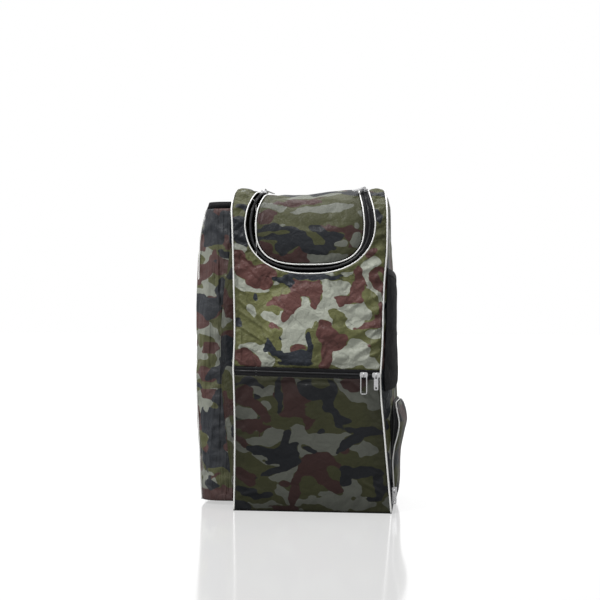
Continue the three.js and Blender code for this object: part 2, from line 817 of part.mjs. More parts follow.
// Corners of the square's border, from the middle of its foot towards the front and all the way round
function pocketBorder(k) {
  const walk = (k / pocketRing) * 8;
  if (walk <= 1) {
    return { a: -walk, b: -1 };
  }
  if (walk <= 3) {
    return { a: -1, b: walk - 2 };
  }
  if (walk <= 5) {
    return { a: walk - 4, b: 1 };
  }
  if (walk <= 7) {
    return { a: 1, b: 6 - walk };
  }
  return { a: 8 - walk, b: -1 };
}

add('side_pocket', wall(pocketCells, pocketCells, (u, v, deep) => {
  const a = 2 * u - 1;
  const b = 2 * v - 1;
  const at = pocketAt(a, b, facePull);
  const crown = pocketCrown * (1 - a ** 4) * (1 - b ** 4);
  return new THREE.Vector3(at.ground + at.stand + crown - deep * cloth, at.y, at.z);
}), camo);

function pocketStrip(inset, low, high, endGap) {
  return wall(pocketRing, 1, (u, v, deep) => {
    const k = Math.round(u * pocketRing);
    const corner = pocketBorder(k);
    const at = pocketAt(corner.a, corner.b, inset + deep * cloth);
    const shift = k === 0 ? -endGap : (k === pocketRing ? endGap : 0);
    return new THREE.Vector3(at.ground + lerp(low(at.stand), high(at.stand), v), at.y + shift, at.z);
  });
}
add('side_pocket_gusset', pocketStrip(0, () => 0, (stand) => stand - facePull, seamGap), black);

add('side_pocket_piping', cord(pocketRing + 1, pipingSides, (i, across, out) => {
  const corner = pocketBorder(i);
  const at = pocketAt(corner.a, corner.b, pipingRadius - out * pipingRadius);
  const shift = i === 0 ? -seamGap : (i === pocketRing ? seamGap : 0);
  const x = at.ground + at.stand - pipingRadius + across * pipingRadius;
  return new THREE.Vector3(x, at.y + shift, at.z);
}), white);

// The pocket's zip runs up the gusset's front and along its top
const pocketZipFirst = 5;
const pocketZipLast = 19;
add('side_pocket_coil', wall(pocketZipLast - pocketZipFirst, 1, (u, v, deep) => {
  const k = pocketZipFirst + Math.round(u * (pocketZipLast - pocketZipFirst));
  const corner = pocketBorder(k);
  const out = seamGap + (1 - deep) * pocketCoilThick;
  const at = pocketAt(corner.a, corner.b, -out);
  const middle = (at.stand - facePull) / 2;
  return new THREE.Vector3(at.ground + middle + lerp(-0.5, 0.5, v) * pocketCoilWidth, at.y, at.z);
}), coilBlack);

// Shoulder straps: a pad from the top of the back, then webbing down to its foot
const padRows = 12;
const padCells = 3;
const webRows = 10;
function strap(side, low, high, width, thick, bow, rows, cells) {
  const centre = side * strapSpacing / 2;
  return wall(cells, rows, (u, v, deep) => {
    const stand = strapSeatGap + bow * Math.sin(Math.PI * v) ** 0.8;
    const x = centre + lerp(-0.5, 0.5, u) * width;
    return new THREE.Vector3(x, halfDepth + stand + (1 - deep) * thick, lerp(low, high, v));
  });
}

for (const side of [-1, 1]) {
  const name = side < 0 ? 'left' : 'right';
  const pad = strap(side, strapBottom, strapTop, strapWidth, strapPad, strapBow, padRows, padCells);
  const web = strap(side, webFoot, strapBottom - seamGap, webWidth, webThick, webBow, webRows, 1);
  add(`strap_pad_${name}`, pad, black);
  add(`strap_web_${name}`, web, black);
}

// Solids for cutting and joining
function toSolid(geometry) {
  geometry.deleteAttribute('normal');
  geometry.deleteAttribute('uv');
  const merged = mergeVertices(geometry, 1e-4);
  return new wasm.Manifold(new wasm.Mesh({
    numProp: 3,
    vertProperties: new Float32Array(merged.getAttribute('position').array),
    triVerts: new Uint32Array(merged.getIndex().array),
  }));
}

function fromSolid(solid) {
  const mesh = solid.getMesh();
  const geometry = new THREE.BufferGeometry();
  geometry.setAttribute('position', new THREE.BufferAttribute(new Float32Array(mesh.vertProperties), 3));
  geometry.setIndex(new THREE.BufferAttribute(new Uint32Array(mesh.triVerts), 1));
  return facingOut(geometry);
}

// A slider's body lies flat with a bail that arches over it along local Y
const bailInner = bailReach - bailWire * 1.6;
function slider(lengthwise) {
  const long = lengthwise ? sliderLength : sliderWidth;
  const wide = lengthwise ? sliderWidth : sliderLength;
  const body = plate(roundedBar(long, wide, sliderWidth * 0.3), sliderThick);
  body.translate(0, wide / 2, 0);
  const half = new THREE.Shape();
  half.absarc(0, 0, bailReach, 0, Math.PI, false);
  half.absarc(0, 0, bailInner, Math.PI, 0, true);
  const arch = plate(half, bailWire * 2);
  const upright = new THREE.Matrix4().makeBasis(
    new THREE.Vector3(0, 1, 0), new THREE.Vector3(0, 0, 1), new THREE.Vector3(1, 0, 0));
  arch.applyMatrix4(upright);
  arch.translate(-bailWire, 0, sliderThick - bailSink);
  return fromSolid(toSolid(body).add(toSolid(arch)));
}

// A pull hangs by its top bar, which lies under the bail, and the bail's lower leg stands in its eye
function pull(width, length, rail, eyeEnd) {
  const shape = roundedBar(width, length, width * 0.3);
  const eye = new THREE.Path();
  const x = width / 2 - rail;
  eye.moveTo(-x, -pullBar);
  eye.lineTo(-x, -eyeEnd);
  eye.lineTo(x, -eyeEnd);
  eye.lineTo(x, -pullBar);
  eye.closePath();
  shape.holes.push(eye);
  if (eyeEnd < length / 2) {
    const ring = new THREE.Path();
    ring.absarc(0, width / 2 - length, width / 2 - rail, 0, Math.PI * 2, true);
    shape.holes.push(ring);
  }
  const geometry = plate(shape, pullThick);
  geometry.translate(0, pullBar / 2, sliderThick + seamGap);
  return fromSolid(toSolid(geometry));
}

const tab = () => pull(pullWidth, pullLength, 2.3, 8.5);
const shortTab = () => pull(pullWidth, sidePullLength, 2.3, 8.5);
const loop = () => pull(loopWidth, loopLength, loopWire, loopLength - loopWire);

// Sets a slider and its pull at a point, with the pull hanging along a direction on the surface
function zipEnd(name, point, normal, hang, lengthwise, pullShape) {
  const z = normal.clone().normalize();
  const y = hang.clone().negate().projectOnPlane(z).normalize();
  const x = y.clone().cross(z);
  const place = new THREE.Matrix4().makeBasis(x, y, z).setPosition(point);
  const parts = [[`slider_${name}`, slider(lengthwise)], [`pull_${name}`, pullShape()]];
  for (const [label, geometry] of parts) {
    const mesh = add(label, geometry, metal);
    mesh.applyMatrix4(place);
  }
}

// The sliders stand on the coils with a small gap
const onCoil = coilProud + seamGap;
const down = new THREE.Vector3(0, 0, -1);
const forward = new THREE.Vector3(0, -1, 0);
function onFrontZip(name, share, shape) {
  const x = share * halfWidth;
  zipEnd(name, wrapPoint(x, frontZipLine(x), -onCoil), forward, down, true, shape);
}
onFrontZip('front_left', loopSliderShare, loop);
onFrontZip('front_right', tabSliderShare, tab);

function onLidZip(name, index, toCentre, upward) {
  const station = stations[index];
  const at = acrossZip(station, acrossZip(station, 0).width / 2);
  const p = outline(at.s);
  const point = wrapPoint(at.x, at.s, -onCoil - sagClearance);
  const beside = wrapPoint(at.x + 1, at.s, -onCoil - sagClearance).sub(point);
  const ahead = wrapPoint(at.x, at.s + 1, -onCoil - sagClearance).sub(point);
  const hang = new THREE.Vector3(-Math.sign(at.x) * toCentre, p.nz * upward, -p.ny * upward);
  zipEnd(name, point, beside.cross(ahead), hang, true, tab);
}
onLidZip('lid_right', lastStation - topRows - 1, 0.7, -0.71);
onLidZip('lid_left', topRows, 0.5, 0.86);

const pocketSliderAt = pocketAt(-1, pocketSliderUp, -pocketCoilThick - seamGap - pocketSliderGap);
const pocketSliderX = pocketSliderAt.ground + sliderWidth / 2 + seamGap;
const pocketSliderPoint = new THREE.Vector3(pocketSliderX, pocketSliderAt.y, pocketSliderAt.z);
zipEnd('side_pocket', pocketSliderPoint, forward, down, false, shortTab);

export default bag;
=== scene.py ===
import json
import math

import bmesh
import bpy
import numpy as np
from bpy.props import FloatProperty, FloatVectorProperty, IntProperty, PointerProperty
from mathutils import Matrix, Vector, noise
from mathutils.bvhtree import BVHTree
from mathutils.kdtree import KDTree

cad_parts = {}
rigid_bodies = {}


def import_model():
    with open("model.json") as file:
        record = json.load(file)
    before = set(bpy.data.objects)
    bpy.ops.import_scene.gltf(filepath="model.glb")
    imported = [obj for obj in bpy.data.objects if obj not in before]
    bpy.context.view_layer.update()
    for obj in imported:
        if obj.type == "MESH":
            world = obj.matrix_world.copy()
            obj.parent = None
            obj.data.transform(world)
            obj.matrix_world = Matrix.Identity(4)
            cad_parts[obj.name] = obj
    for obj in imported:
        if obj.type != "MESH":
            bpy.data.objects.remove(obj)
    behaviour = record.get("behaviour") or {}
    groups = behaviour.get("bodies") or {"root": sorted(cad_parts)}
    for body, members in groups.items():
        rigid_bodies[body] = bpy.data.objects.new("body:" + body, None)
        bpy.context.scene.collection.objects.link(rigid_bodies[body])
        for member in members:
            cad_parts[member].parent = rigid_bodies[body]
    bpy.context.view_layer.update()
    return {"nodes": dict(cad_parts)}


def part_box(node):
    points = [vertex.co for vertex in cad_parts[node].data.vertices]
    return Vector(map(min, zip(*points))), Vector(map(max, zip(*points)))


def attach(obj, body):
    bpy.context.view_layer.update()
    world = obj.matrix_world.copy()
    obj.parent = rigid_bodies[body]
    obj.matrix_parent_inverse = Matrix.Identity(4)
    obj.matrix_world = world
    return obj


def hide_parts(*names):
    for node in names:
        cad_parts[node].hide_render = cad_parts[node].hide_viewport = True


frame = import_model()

bl_info = {
    "name": "Kit bag",
    "version": (1, 0, 0),
    "blender": (4, 5, 0),
    "location": "3D View > Sidebar > Kit Bag",
    "description": "Dresses the cricket kit bag: crinkled camouflage cloth, zips, piping, pulls and straps",
    "category": "Object",
}

MM = 0.001
WELD = 0.02 * MM
WALL = 2 * MM
LONGEST_SIDE = 34 * MM
BAG_MIDDLE = Vector((0, 0, 0.35))
SIDE_SEAM_X = 0.14
SLEEVE_MIDDLE = Vector((-0.215, 0, 0.35))
SLEEVE_RADIUS = 0.075

# The front runs straight up, over an arc and along the top, as in the solids
FRONT_Y = -0.150
ARC = 0.075
ARC_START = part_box("front_upper")[1].z - ARC
TOP_Y = FRONT_Y + ARC

# Painted shade: the cloth's colour is darkened within this distance of a seam. Above a panel's dim_above the
# painted shade deepens over DIM_OVER of its length, as if the cloth lay nearer to the seam by DIM_BY
SEAM_SHADE = 45 * MM
DIM_OVER = 60 * MM
DIM_BY = 62 * MM

# How far the edge of a printed patch wanders, and how soft it is
PRINT_WANDER = 12 * MM
PRINT_EDGE = 0.35 * MM


class KitBagCloth(bpy.types.PropertyGroup):
    thickness: FloatProperty(
        name="Thickness", description="Thickness of the coated cloth",
        default=1.2 * MM, subtype="DISTANCE", unit="LENGTH")
    frames: IntProperty(
        name="Frames", description="Frames for which the cloth settles", default=26, min=2)
    olive: FloatVectorProperty(
        name="Olive", description="Ground colour of the camouflage", subtype="COLOR",
        size=3, default=(0.137, 0.142, 0.056), min=0, max=1)
    light: FloatVectorProperty(
        name="Light", description="Grey-green of the camouflage", subtype="COLOR",
        size=3, default=(0.40, 0.42, 0.355), min=0, max=1)
    maroon: FloatVectorProperty(
        name="Maroon", description="Brown-red of the camouflage", subtype="COLOR",
        size=3, default=(0.118, 0.050, 0.044), min=0, max=1)
    navy: FloatVectorProperty(
        name="Navy", description="Blue-black of the camouflage", subtype="COLOR",
        size=3, default=(0.022, 0.027, 0.036), min=0, max=1)
    black: FloatVectorProperty(
        name="Black cloth", description="Colour of the plain panels", subtype="COLOR",
        size=3, default=(0.0075, 0.0075, 0.0085), min=0, max=1)


class KitBagTrim(bpy.types.PropertyGroup):
    tooth_pitch: FloatProperty(
        name="Tooth pitch", description="Distance between the turns of a zip's coil",
        default=2.4 * MM, min=1 * MM, subtype="DISTANCE", unit="LENGTH")
    stitch: FloatProperty(
        name="Stitch", description="Length of one stitch",
        default=3.2 * MM, subtype="DISTANCE", unit="LENGTH")
    stitch_gap: FloatProperty(
        name="Stitch gap", description="Cloth between two stitches",
        default=0.9 * MM, subtype="DISTANCE", unit="LENGTH")
    white: FloatVectorProperty(
        name="Piping", description="Colour of the piping", subtype="COLOR",
        size=3, default=(0.95, 0.95, 0.93), min=0, max=1)
    steel: FloatVectorProperty(
        name="Zip metal", description="Colour of the sliders and pulls", subtype="COLOR",
        size=3, default=(0.55, 0.55, 0.56), min=0, max=1)


class KitBagStage(bpy.types.PropertyGroup):
    floor: FloatVectorProperty(
        name="Floor", description="Colour of the floor", subtype="COLOR",
        size=3, default=(0.26, 0.26, 0.26), min=0, max=1)
    daylight: FloatProperty(
        name="Surrounding light", description="Strength of the even light from all round",
        default=0.34, min=0)
    key: FloatProperty(
        name="Key light", description="Power of the large light above the front",
        default=46, min=0, unit="POWER")
    fill: FloatProperty(
        name="Fill light", description="Power of the light in front of the bag",
        default=8, min=0, unit="POWER")
    top: FloatProperty(
        name="Top light", description="Power of the light over the bag",
        default=26, min=0, unit="POWER")


# The camouflage lies on an olive ground. Its patches, in layers of one tone, are given in millimetres: x
# across the front and up along the cloth from the floor, their whole width and height, and how far they
# are turned, in degrees. A later patch covers an earlier one
TONES = ("light", "maroon", "navy")
PATCH_COLUMNS = ("x", "up", "wide", "tall", "turn")

LID_PATCHES = [
    ("light", [
        (-83, 680, 44, 16, 0),
        (-71, 670, 19, 14, 0),
        (28, 669, 105, 15, 4),
        (57, 676, 42, 12, 0),
        (-108, 651, 13, 15, 0),
    ]),
    ("maroon", [
        (-20, 691, 88, 20, 0),
        (-99, 646, 29, 23, 0),
        (-86, 660, 25, 11, 0),
        (79, 616, 59, 21, -6),
        (93, 601, 21, 38, 0),
        (87, 564, 34, 13, 25),
        (-39, 559, 76, 19, 0),
        (-19, 574, 21, 29, 0),
        (-99, 581, 27, 17, -30),
    ]),
    ("light", [
        (66, 586, 36, 21, 0),
        (105, 596, 23, 38, 0),
        (37, 561, 74, 23, 4),
        (5, 561, 19, 23, 0),
    ]),
    ("navy", [
        (-41, 604, 57, 51, 0),
        (-88, 623, 48, 15, 0),
        (-86, 604, 42, 11, -4),
        (-5, 584, 36, 23, -40),
        (28, 578, 53, 12, 4),
        (-65, 578, 27, 23, 0),
        (54, 605, 40, 19, 0),
        (33, 603, 38, 13, -30),
        (45, 591, 19, 19, 0),
        (11, 622, 25, 8, -20),
    ]),
    ("olive", [
        (77, 574, 38, 8, 0),
        (-88, 613, 40, 4, 4),
    ]),
]

UPPER_PATCHES = [
    ("light", [
        (-144, 497, 81, 18, -12),
        (-158, 512, 45, 16, -25),
        (-126, 444, 22, 13, -50),
        (49, 498, 76, 58, 0),
        (40, 447, 52, 85, 0),
        (-10, 444, 49, 58, 0),
        (-19, 417, 90, 54, -20),
        (-37, 386, 52, 67, -10),
        (-44, 361, 22, 31, 0),
        (-80, 426, 45, 18, -20),
        (-19, 381, 45, 36, 0),
        (94, 447, 74, 49, -20),
        (100, 415, 31, 34, 0),
        (43, 421, 29, 29, 0),
        (125, 516, 25, 52, -15),
        (141, 476, 29, 49, 35),
        (-94, 343, 29, 49, 0),
        (-121, 356, 54, 18, -15),
        (89, 348, 74, 56, 10),
        (71, 335, 45, 27, 0),
        (136, 328, 34, 20, -30),
        (143, 395, 34, 18, 20),
        (87, 524, 25, 11, 0),
    ]),
    ("maroon", [
        (-107, 518, 67, 54, 0),
        (-144, 532, 45, 25, 0),
        (-21, 500, 85, 49, 0),
        (14, 473, 18, 43, -10),
        (-41, 464, 40, 43, 50),
        (-71, 460, 31, 10, 0),
        (-48, 437, 29, 13, 50),
        (105, 491, 29, 54, 0),
        (109, 525, 13, 36, 0),
        (82, 469, 40, 13, -15),
        (69, 464, 16, 16, 0),
        (149, 498, 18, 43, 35),
        (138, 522, 16, 20, 0),
        (153, 442, 20, 29, 0),
        (136, 415, 56, 11, 20),
        (152, 421, 22, 22, 0),
        (38, 400, 45, 34, -30),
        (51, 379, 52, 36, -10),
        (33, 350, 29, 65, 0),
        (-21, 357, 29, 20, 0),
        (-139, 336, 58, 31, -25),
    ]),
    ("navy", [
        (-5, 519, 67, 11, 0),
        (42, 518, 63, 6, 0),
        (-57, 507, 31, 11, -15),
        (4, 375, 10, 45, 6),
        (-11, 341, 40, 25, 0),
        (-51, 341, 63, 13, -15),
        (-83, 355, 34, 10, -62),
        (-35, 327, 31, 11, 0),
    ]),
    ("olive", [
        (59, 435, 34, 20, -40),
        (65, 417, 22, 25, 0),
        (15, 373, 13, 81, 0),
        (132, 467, 58, 20, -62),
        (96, 516, 29, 9, 0),
        (-57, 490, 29, 22, 0),
    ]),
    ("navy", [
        (-160, 624, 36, 56, 0),
        (-146, 596, 23, 15, -40),
    ]),
    ("light", [
        (-159, 580, 34, 17, -10),
    ]),
    ("maroon", [
        (-161, 556, 34, 34, 0),
        (-135, 541, 34, 23, -30),
    ]),
    ("light", [
        (133, 544, 34, 23, 15),
        (123, 528, 21, 32, 0),
    ]),
    ("maroon", [
        (107, 523, 12, 29, 0),
        (142, 517, 17, 27, 20),
    ]),
    ("navy", [
        (148, 649, 15, 23, 0),
    ]),
    ("maroon", [
        (136, 569, 19, 8, 30),
    ]),
]

LOWER_PATCHES = [
    ("light", [
        (-121, 264, 36, 13, -20),
        (-91, 264, 38, 13, 18),
        (-100, 232, 20, 17, 0),
        (-145, 216, 49, 25, -10),
        (74, 272, 49, 18, -45),
        (105, 253, 58, 19, -15),
        (141, 244, 43, 36, -20),
        (141, 271, 25, 36, 0),
        (-26, 177, 38, 29, 0),
        (22, 158, 130, 31, 0),
        (33, 142, 67, 31, 0),
        (86, 170, 31, 8, 0),
        (-78, 168, 54, 27, 0),
        (-110, 153, 54, 22, -6),
        (-148, 141, 45, 14, -25),
        (-14, 131, 49, 34, 0),
        (-91, 113, 72, 18, -30),
        (-37, 92, 72, 25, 25),
        (-66, 76, 47, 16, -6),
        (-103, 12, 61, 10, 0),
        (-69, 44, 20, 14, 0),
        (-50, 38, 43, 18, -45),
        (-32, 18, 34, 13, -45),
        (65, 35, 61, 34, 20),
        (91, 60, 27, 43, 8),
        (105, 47, 13, 18, 0),
        (22, 39, 47, 8, 0),
        (44, 22, 112, 13, 0),
        (74, 13, 27, 18, 0),
    ]),
    ("maroon", [
        (-46, 258, 43, 74, 0),
        (-32, 221, 63, 25, 0),
        (-149, 255, 36, 45, 0),
        (-114, 224, 63, 18, -45),
        (-139, 191, 58, 22, 0),
        (-149, 155, 38, 13, -30),
        (22, 106, 88, 43, 0),
        (6, 88, 63, 29, 10),
        (-28, 54, 67, 18, 75),
        (44, 62, 52, 22, -28),
        (-55, 62, 20, 7, 0),
        (-144, 79, 40, 18, -40),
        (91, 279, 45, 25, -10),
        (-55, 8, 45, 11, 0),
    ]),
    ("navy", [
        (15, 270, 76, 43, 0),
        (41, 248, 22, 43, 0),
        (-69, 260, 10, 63, 0),
        (58, 218, 40, 9, -28),
        (121, 181, 70, 13, -5),
        (96, 161, 43, 20, 30),
        (76, 144, 20, 11, 35),
        (-55, 125, 54, 36, 0),
        (-105, 134, 58, 16, -10),
        (-129, 139, 25, 10, -45),
        (-52, 160, 34, 13, 75),
        (-38, 140, 20, 10, 45),
        (-32, 113, 20, 18, 0),
        (-72, 108, 38, 8, -4),
        (-79, 116, 13, 9, -40),
        (-79, 87, 52, 11, 14),
        (-48, 102, 34, 13, 20),
        (107, 87, 74, 19, 4),
        (78, 70, 18, 18, 0),
        (152, 64, 18, 45, 0),
        (141, 32, 31, 9, 0),
        (-137, 45, 36, 14, -15),
        (-116, 36, 43, 10, -4),
        (-155, 9, 43, 20, 0),
    ]),
    ("olive", [
        (23, 284, 34, 20, 0),
        (13, 216, 40, 22, 0),
        (-3, 57, 40, 47, 0),
        (54, 89, 27, 27, 0),
    ]),
    ("navy", [
        (-3, 139, 20, 7, -20),
    ]),
]

# Long folds pressed into a panel before it settles. Places and sizes in millimetres as for the patches,
# and rise is how far a fold stands out
FOLD_COLUMNS = ("x", "up", "wide", "tall", "turn", "rise")

UPPER_FOLDS = [
    (-140, 452, 120, 14, -38, 6.0),
    (-128, 424, 130, 13, -34, 6.5),
    (-132, 394, 120, 12, -30, 6.0),
    (-140, 362, 100, 12, -22, 4.0),
    (-136, 556, 80, 14, -44, 4.5),
    (-120, 524, 90, 12, -46, 4.0),
    (-92, 488, 90, 13, -50, 3.5),
    (-150, 486, 70, 10, -30, 4.0),
    (148, 404, 90, 12, 38, 4.5),
    (140, 372, 100, 12, 32, 4.5),
    (134, 344, 90, 12, 24, 4.0),
    (150, 444, 80, 11, 46, 4.0),
    (152, 486, 80, 12, 54, 4.0),
    (140, 540, 80, 12, 60, 4.0),
    (30, 350, 60, 14, 75, 2.5),
    (-30, 352, 60, 14, 100, -2.5),
]

LOWER_FOLDS = [
    (-130, 40, 120, 26, 12, 1.6),
    (130, 60, 110, 22, -28, 1.8),
    (0, 285, 300, 16, 0, -1.2),
    (145, 250, 70, 16, -40, 2.0),
]

SLEEVE_FOLDS = [
    (-22, 430, 460, 13, 91, 3.5),
    (-58, 470, 380, 12, 88, 4.0),
    (-86, 400, 440, 12, 92, 4.5),
    (-112, 500, 300, 11, 89, 4.0),
    (-136, 430, 380, 12, 91, 4.0),
    (-158, 300, 300, 12, 88, 3.5),
    (-98, 160, 240, 12, 93, 3.5),
    (-70, 150, 220, 11, 86, 3.0),
    (-40, 190, 240, 12, 90, 3.0),
    (60, 400, 400, 14, 90, 3.0),
]

# How a cloth panel is made where its row doesn't say otherwise. middle: what it faces away from. lay: how
# it lies flat. level and finish: steps of smoothing before and after it settles. grow: how much longer
# than its outline the cloth is. cap: how far it may move, and crinkle: height of its diagonal creases, both
# in millimetres. puff: pressure from inside. creases and streaks: strength of the fine creases and of
# upright gathers; creases also sets how dark the painted shadow in the crease lines is. dim_above: length of
# cloth from the floor, in metres, above which painted shade darkens it. grain and fill: how fine the drifting
# patches are and how much they cover. shade: a painted shade, how light the tones are made for the light
# the panel gets
PANEL = {
    "cloth": "camo", "middle": BAG_MIDDLE, "lay": "side", "level": 2, "finish": 1, "grow": 0.012, "cap": 3.0,
    "puff": 0.3, "folds": [], "crinkle": 0.0, "creases": 0.5, "streaks": 0.0, "dim_above": math.inf,
    "patches": [], "seed": 1, "grain": 1.0, "fill": -0.04, "gloss": 0.06, "shade": 0.4,
}
FRONT_PANEL = {**PANEL, "lay": "front", "level": 3, "finish": 0, "fill": -0.40, "gloss": 0.24}
BLACK_PANEL = {**PANEL, "cloth": "black", "creases": 0.3}

# Each row's shade is painted shade: the lid, the lower front, the sides and the sleeve are made darker than
# the upper front, as if less light fell on them
PANELS = [
    {**FRONT_PANEL, "node": "front_upper", "grow": 0.050, "cap": 7.0, "puff": 0.6, "folds": UPPER_FOLDS,
     "crinkle": 3.4, "creases": 0.6, "dim_above": 0.55, "patches": UPPER_PATCHES, "seed": 3, "shade": 1.0},
    {**FRONT_PANEL, "node": "lid", "grow": 0.010, "puff": 0.5, "creases": 0.25, "patches": LID_PATCHES,
     "seed": 7, "shade": 0.36},
    {**FRONT_PANEL, "node": "front_lower", "grow": 0.006, "puff": 0.5, "folds": LOWER_FOLDS,
     "creases": 0.18, "patches": LOWER_PATCHES, "seed": 11, "gloss": 0.2, "shade": 0.22},
    {**PANEL, "node": "side_left", "seed": 17, "gloss": 0.08, "shade": 0.36},
    {**PANEL, "node": "side_right", "seed": 23, "gloss": 0.05, "shade": 0.5},
    {**PANEL, "node": "sleeve", "middle": SLEEVE_MIDDLE, "lay": "sleeve", "grow": 0.014, "cap": 4.0,
     "puff": 0.4, "folds": SLEEVE_FOLDS, "creases": 0.24, "streaks": 1.0, "seed": 52, "grain": 1.55,
     "fill": 0.07, "gloss": 0.45, "shade": 0.62},
    {**PANEL, "node": "side_pocket", "cap": 2.5, "puff": 0.4, "creases": 0.4, "seed": 41},
    {**BLACK_PANEL, "node": "slip_pocket", "grow": 0.008, "cap": 2.5, "puff": 0.4},
    {**BLACK_PANEL, "node": "back_panel", "lay": "front", "level": 1, "grow": 0.006},
]


def place(tree, kind, **inputs):
    """A node of that kind, each named input set to a value or linked to a socket."""
    made = tree.nodes.new(kind)
    for name, value in inputs.items():
        socket = made.inputs[int(name[1:])] if name[1:].isdigit() else made.inputs[name.replace("_", " ")]
        if isinstance(value, bpy.types.NodeSocket):
            tree.links.new(value, socket)
        else:
            socket.default_value = value
    return made


def sums(tree, operation, a, b):
    """The number that a Math node makes of a and b."""
    made = place(tree, "ShaderNodeMath", _0=a, _1=b)
    made.operation = operation
    return made.outputs[0]


def attribute_of(tree, name):
    """The node that reads the piece's attribute of that name."""
    made = tree.nodes.new("ShaderNodeAttribute")
    made.attribute_name = name
    return made


def clouds(tree, at, scale, detail=2.0, roughness=0.5):
    """Cloudy noise from 0 to 1."""
    made = place(tree, "ShaderNodeTexNoise", Vector=at, Scale=scale, Detail=detail, Roughness=roughness)
    return made.outputs["Fac"]


def spread(tree, cloud, low, high):
    """The middle range of cloudy noise, drawn out from low to high."""
    made = place(tree, "ShaderNodeMapRange", Value=cloud, From_Min=0.3, From_Max=0.7, To_Min=low, To_Max=high)
    return made.outputs["Result"]


def ribs(tree, at, scale, direction, distortion=0.0):
    """Height of even parallel ribs."""
    wave = place(tree, "ShaderNodeTexWave", Vector=at, Scale=scale, Distortion=distortion)
    wave.wave_type = "BANDS"
    wave.bands_direction = direction
    return wave.outputs["Fac"]


def grey_of(tree, value):
    return place(tree, "ShaderNodeCombineColor", Red=value, Green=value, Blue=value).outputs[0]


def between(tree, value, low, high):
    """0 where value is under low, 1 where it is over high, and smooth between them."""
    made = place(tree, "ShaderNodeMapRange", Value=value, From_Min=low, From_Max=high)
    made.interpolation_type = "SMOOTHSTEP"
    return made.outputs["Result"]


def blend_colours(tree, factor, a, b, kind="MIX"):
    made = tree.nodes.new("ShaderNodeMix")
    made.data_type = "RGBA"
    made.blend_type = kind
    for socket, value in ((made.inputs[0], factor), (made.inputs[6], a), (made.inputs[7], b)):
        if isinstance(value, bpy.types.NodeSocket):
            tree.links.new(value, socket)
        else:
            socket.default_value = value
    return made.outputs[2]


def opaque(colour, shade=1.0):
    return (colour[0] * shade, colour[1] * shade, colour[2] * shade, 1.0)


def tint(tree, shader, cloud, colour, darkest, lightest):
    """The shader's colour runs between two shades of one colour with the cloudy noise."""
    tone = blend_colours(tree, cloud, opaque(colour, darkest), opaque(colour, lightest))
    tree.links.new(tone, shader.inputs["Base Color"])


def finish_of(name, **sockets):
    """A new material with one Principled shader, its uniform values set on the shader itself."""
    material = bpy.data.materials.new(name)
    material.use_nodes = True
    tree = material.node_tree
    tree.nodes.clear()
    shader = place(tree, "ShaderNodeBsdfPrincipled", **sockets)
    output = tree.nodes.new("ShaderNodeOutputMaterial")
    tree.links.new(shader.outputs[0], output.inputs[0])
    return material, tree, shader


def lay_of_cloth(tree, shift):
    """Where a point lies on the flat cloth, in metres, moved so that no two panels share a pattern."""
    lay = attribute_of(tree, "lay")
    mapping = place(tree, "ShaderNodeMapping", Vector=lay.outputs["Vector"],
                    Location=(shift * 0.37, shift * 0.71, 0))
    return mapping.outputs[0]


def solid_place(tree, shift=0.0):
    """Object coordinates, moved by shift so that no two pieces share a pattern."""
    coordinates = tree.nodes.new("ShaderNodeTexCoord")
    mapping = place(tree, "ShaderNodeMapping", Vector=coordinates.outputs["Object"],
                    Location=(shift, shift * 0.6, shift * 0.3))
    return mapping.outputs[0]


def woven(tree, at, pitch):
    """Height of a plain weave whose threads lie pitch apart, in metres."""
    scale = 2 * math.pi / (20 * pitch)
    return sums(tree, "MAXIMUM", ribs(tree, at, scale, "X"), ribs(tree, at, scale, "Y"))


def creased(tree, at, scale):
    """Height of the sharp creases that coated cloth keeps after it has been packed."""
    wander = place(tree, "ShaderNodeTexNoise", Vector=at, Scale=scale * 0.8, Detail=3.0, Roughness=0.6)
    moved = place(tree, "ShaderNodeVectorMath", _0=wander.outputs["Color"])
    moved.operation = "SCALE"
    moved.inputs["Scale"].default_value = 0.9 / scale
    total = place(tree, "ShaderNodeVectorMath", _0=at, _1=moved.outputs[0])
    total.operation = "ADD"
    facets = place(tree, "ShaderNodeTexVoronoi", Vector=total.outputs[0], Scale=scale)
    facets.feature = "DISTANCE_TO_EDGE"
    ridge = between(tree, facets.outputs["Distance"], 0.0, 0.22)
    soft = clouds(tree, at, scale * 0.5, 4.0, 0.55)
    return sums(tree, "ADD", ridge, sums(tree, "MULTIPLY", soft, 1.6))


def creased_line(tree, at, scale):
    """1 on the cloth and towards 0 in the thin lines of its sharpest creases, which painted shadow darkens.
    """
    off = sums(tree, "SUBTRACT", clouds(tree, at, scale, 2.0, 0.6), 0.5)
    return between(tree, sums(tree, "ABSOLUTE", off, 0.0), 0.0, 0.025)


def seam_shade(tree, lines, depth):
    """A grey of painted shade that darkens the cloth along its creases by depth, towards its seams and where
    it is dimmed.
    """
    clear = attribute_of(tree, "clear").outputs["Fac"]
    rim = place(tree, "ShaderNodeMapRange", Value=clear, From_Min=-SEAM_SHADE, From_Max=SEAM_SHADE,
                To_Min=0.40, To_Max=1.0)
    crease = place(tree, "ShaderNodeMapRange", Value=lines, To_Min=1.0 - 0.42 * depth, To_Max=1.0)
    return grey_of(tree, sums(tree, "MULTIPLY", rim.outputs[0], crease.outputs[0]))


def raise_surface(tree, shader, *layers):
    """Bumps, each a height with its depth in metres and its strength, one on another."""
    normal = None
    for height, depth, strength in layers:
        bump = place(tree, "ShaderNodeBump", Height=height, Distance=depth, Strength=strength)
        if normal is not None:
            tree.links.new(normal, bump.inputs["Normal"])
        normal = bump.outputs[0]
    tree.links.new(normal, shader.inputs["Normal"])


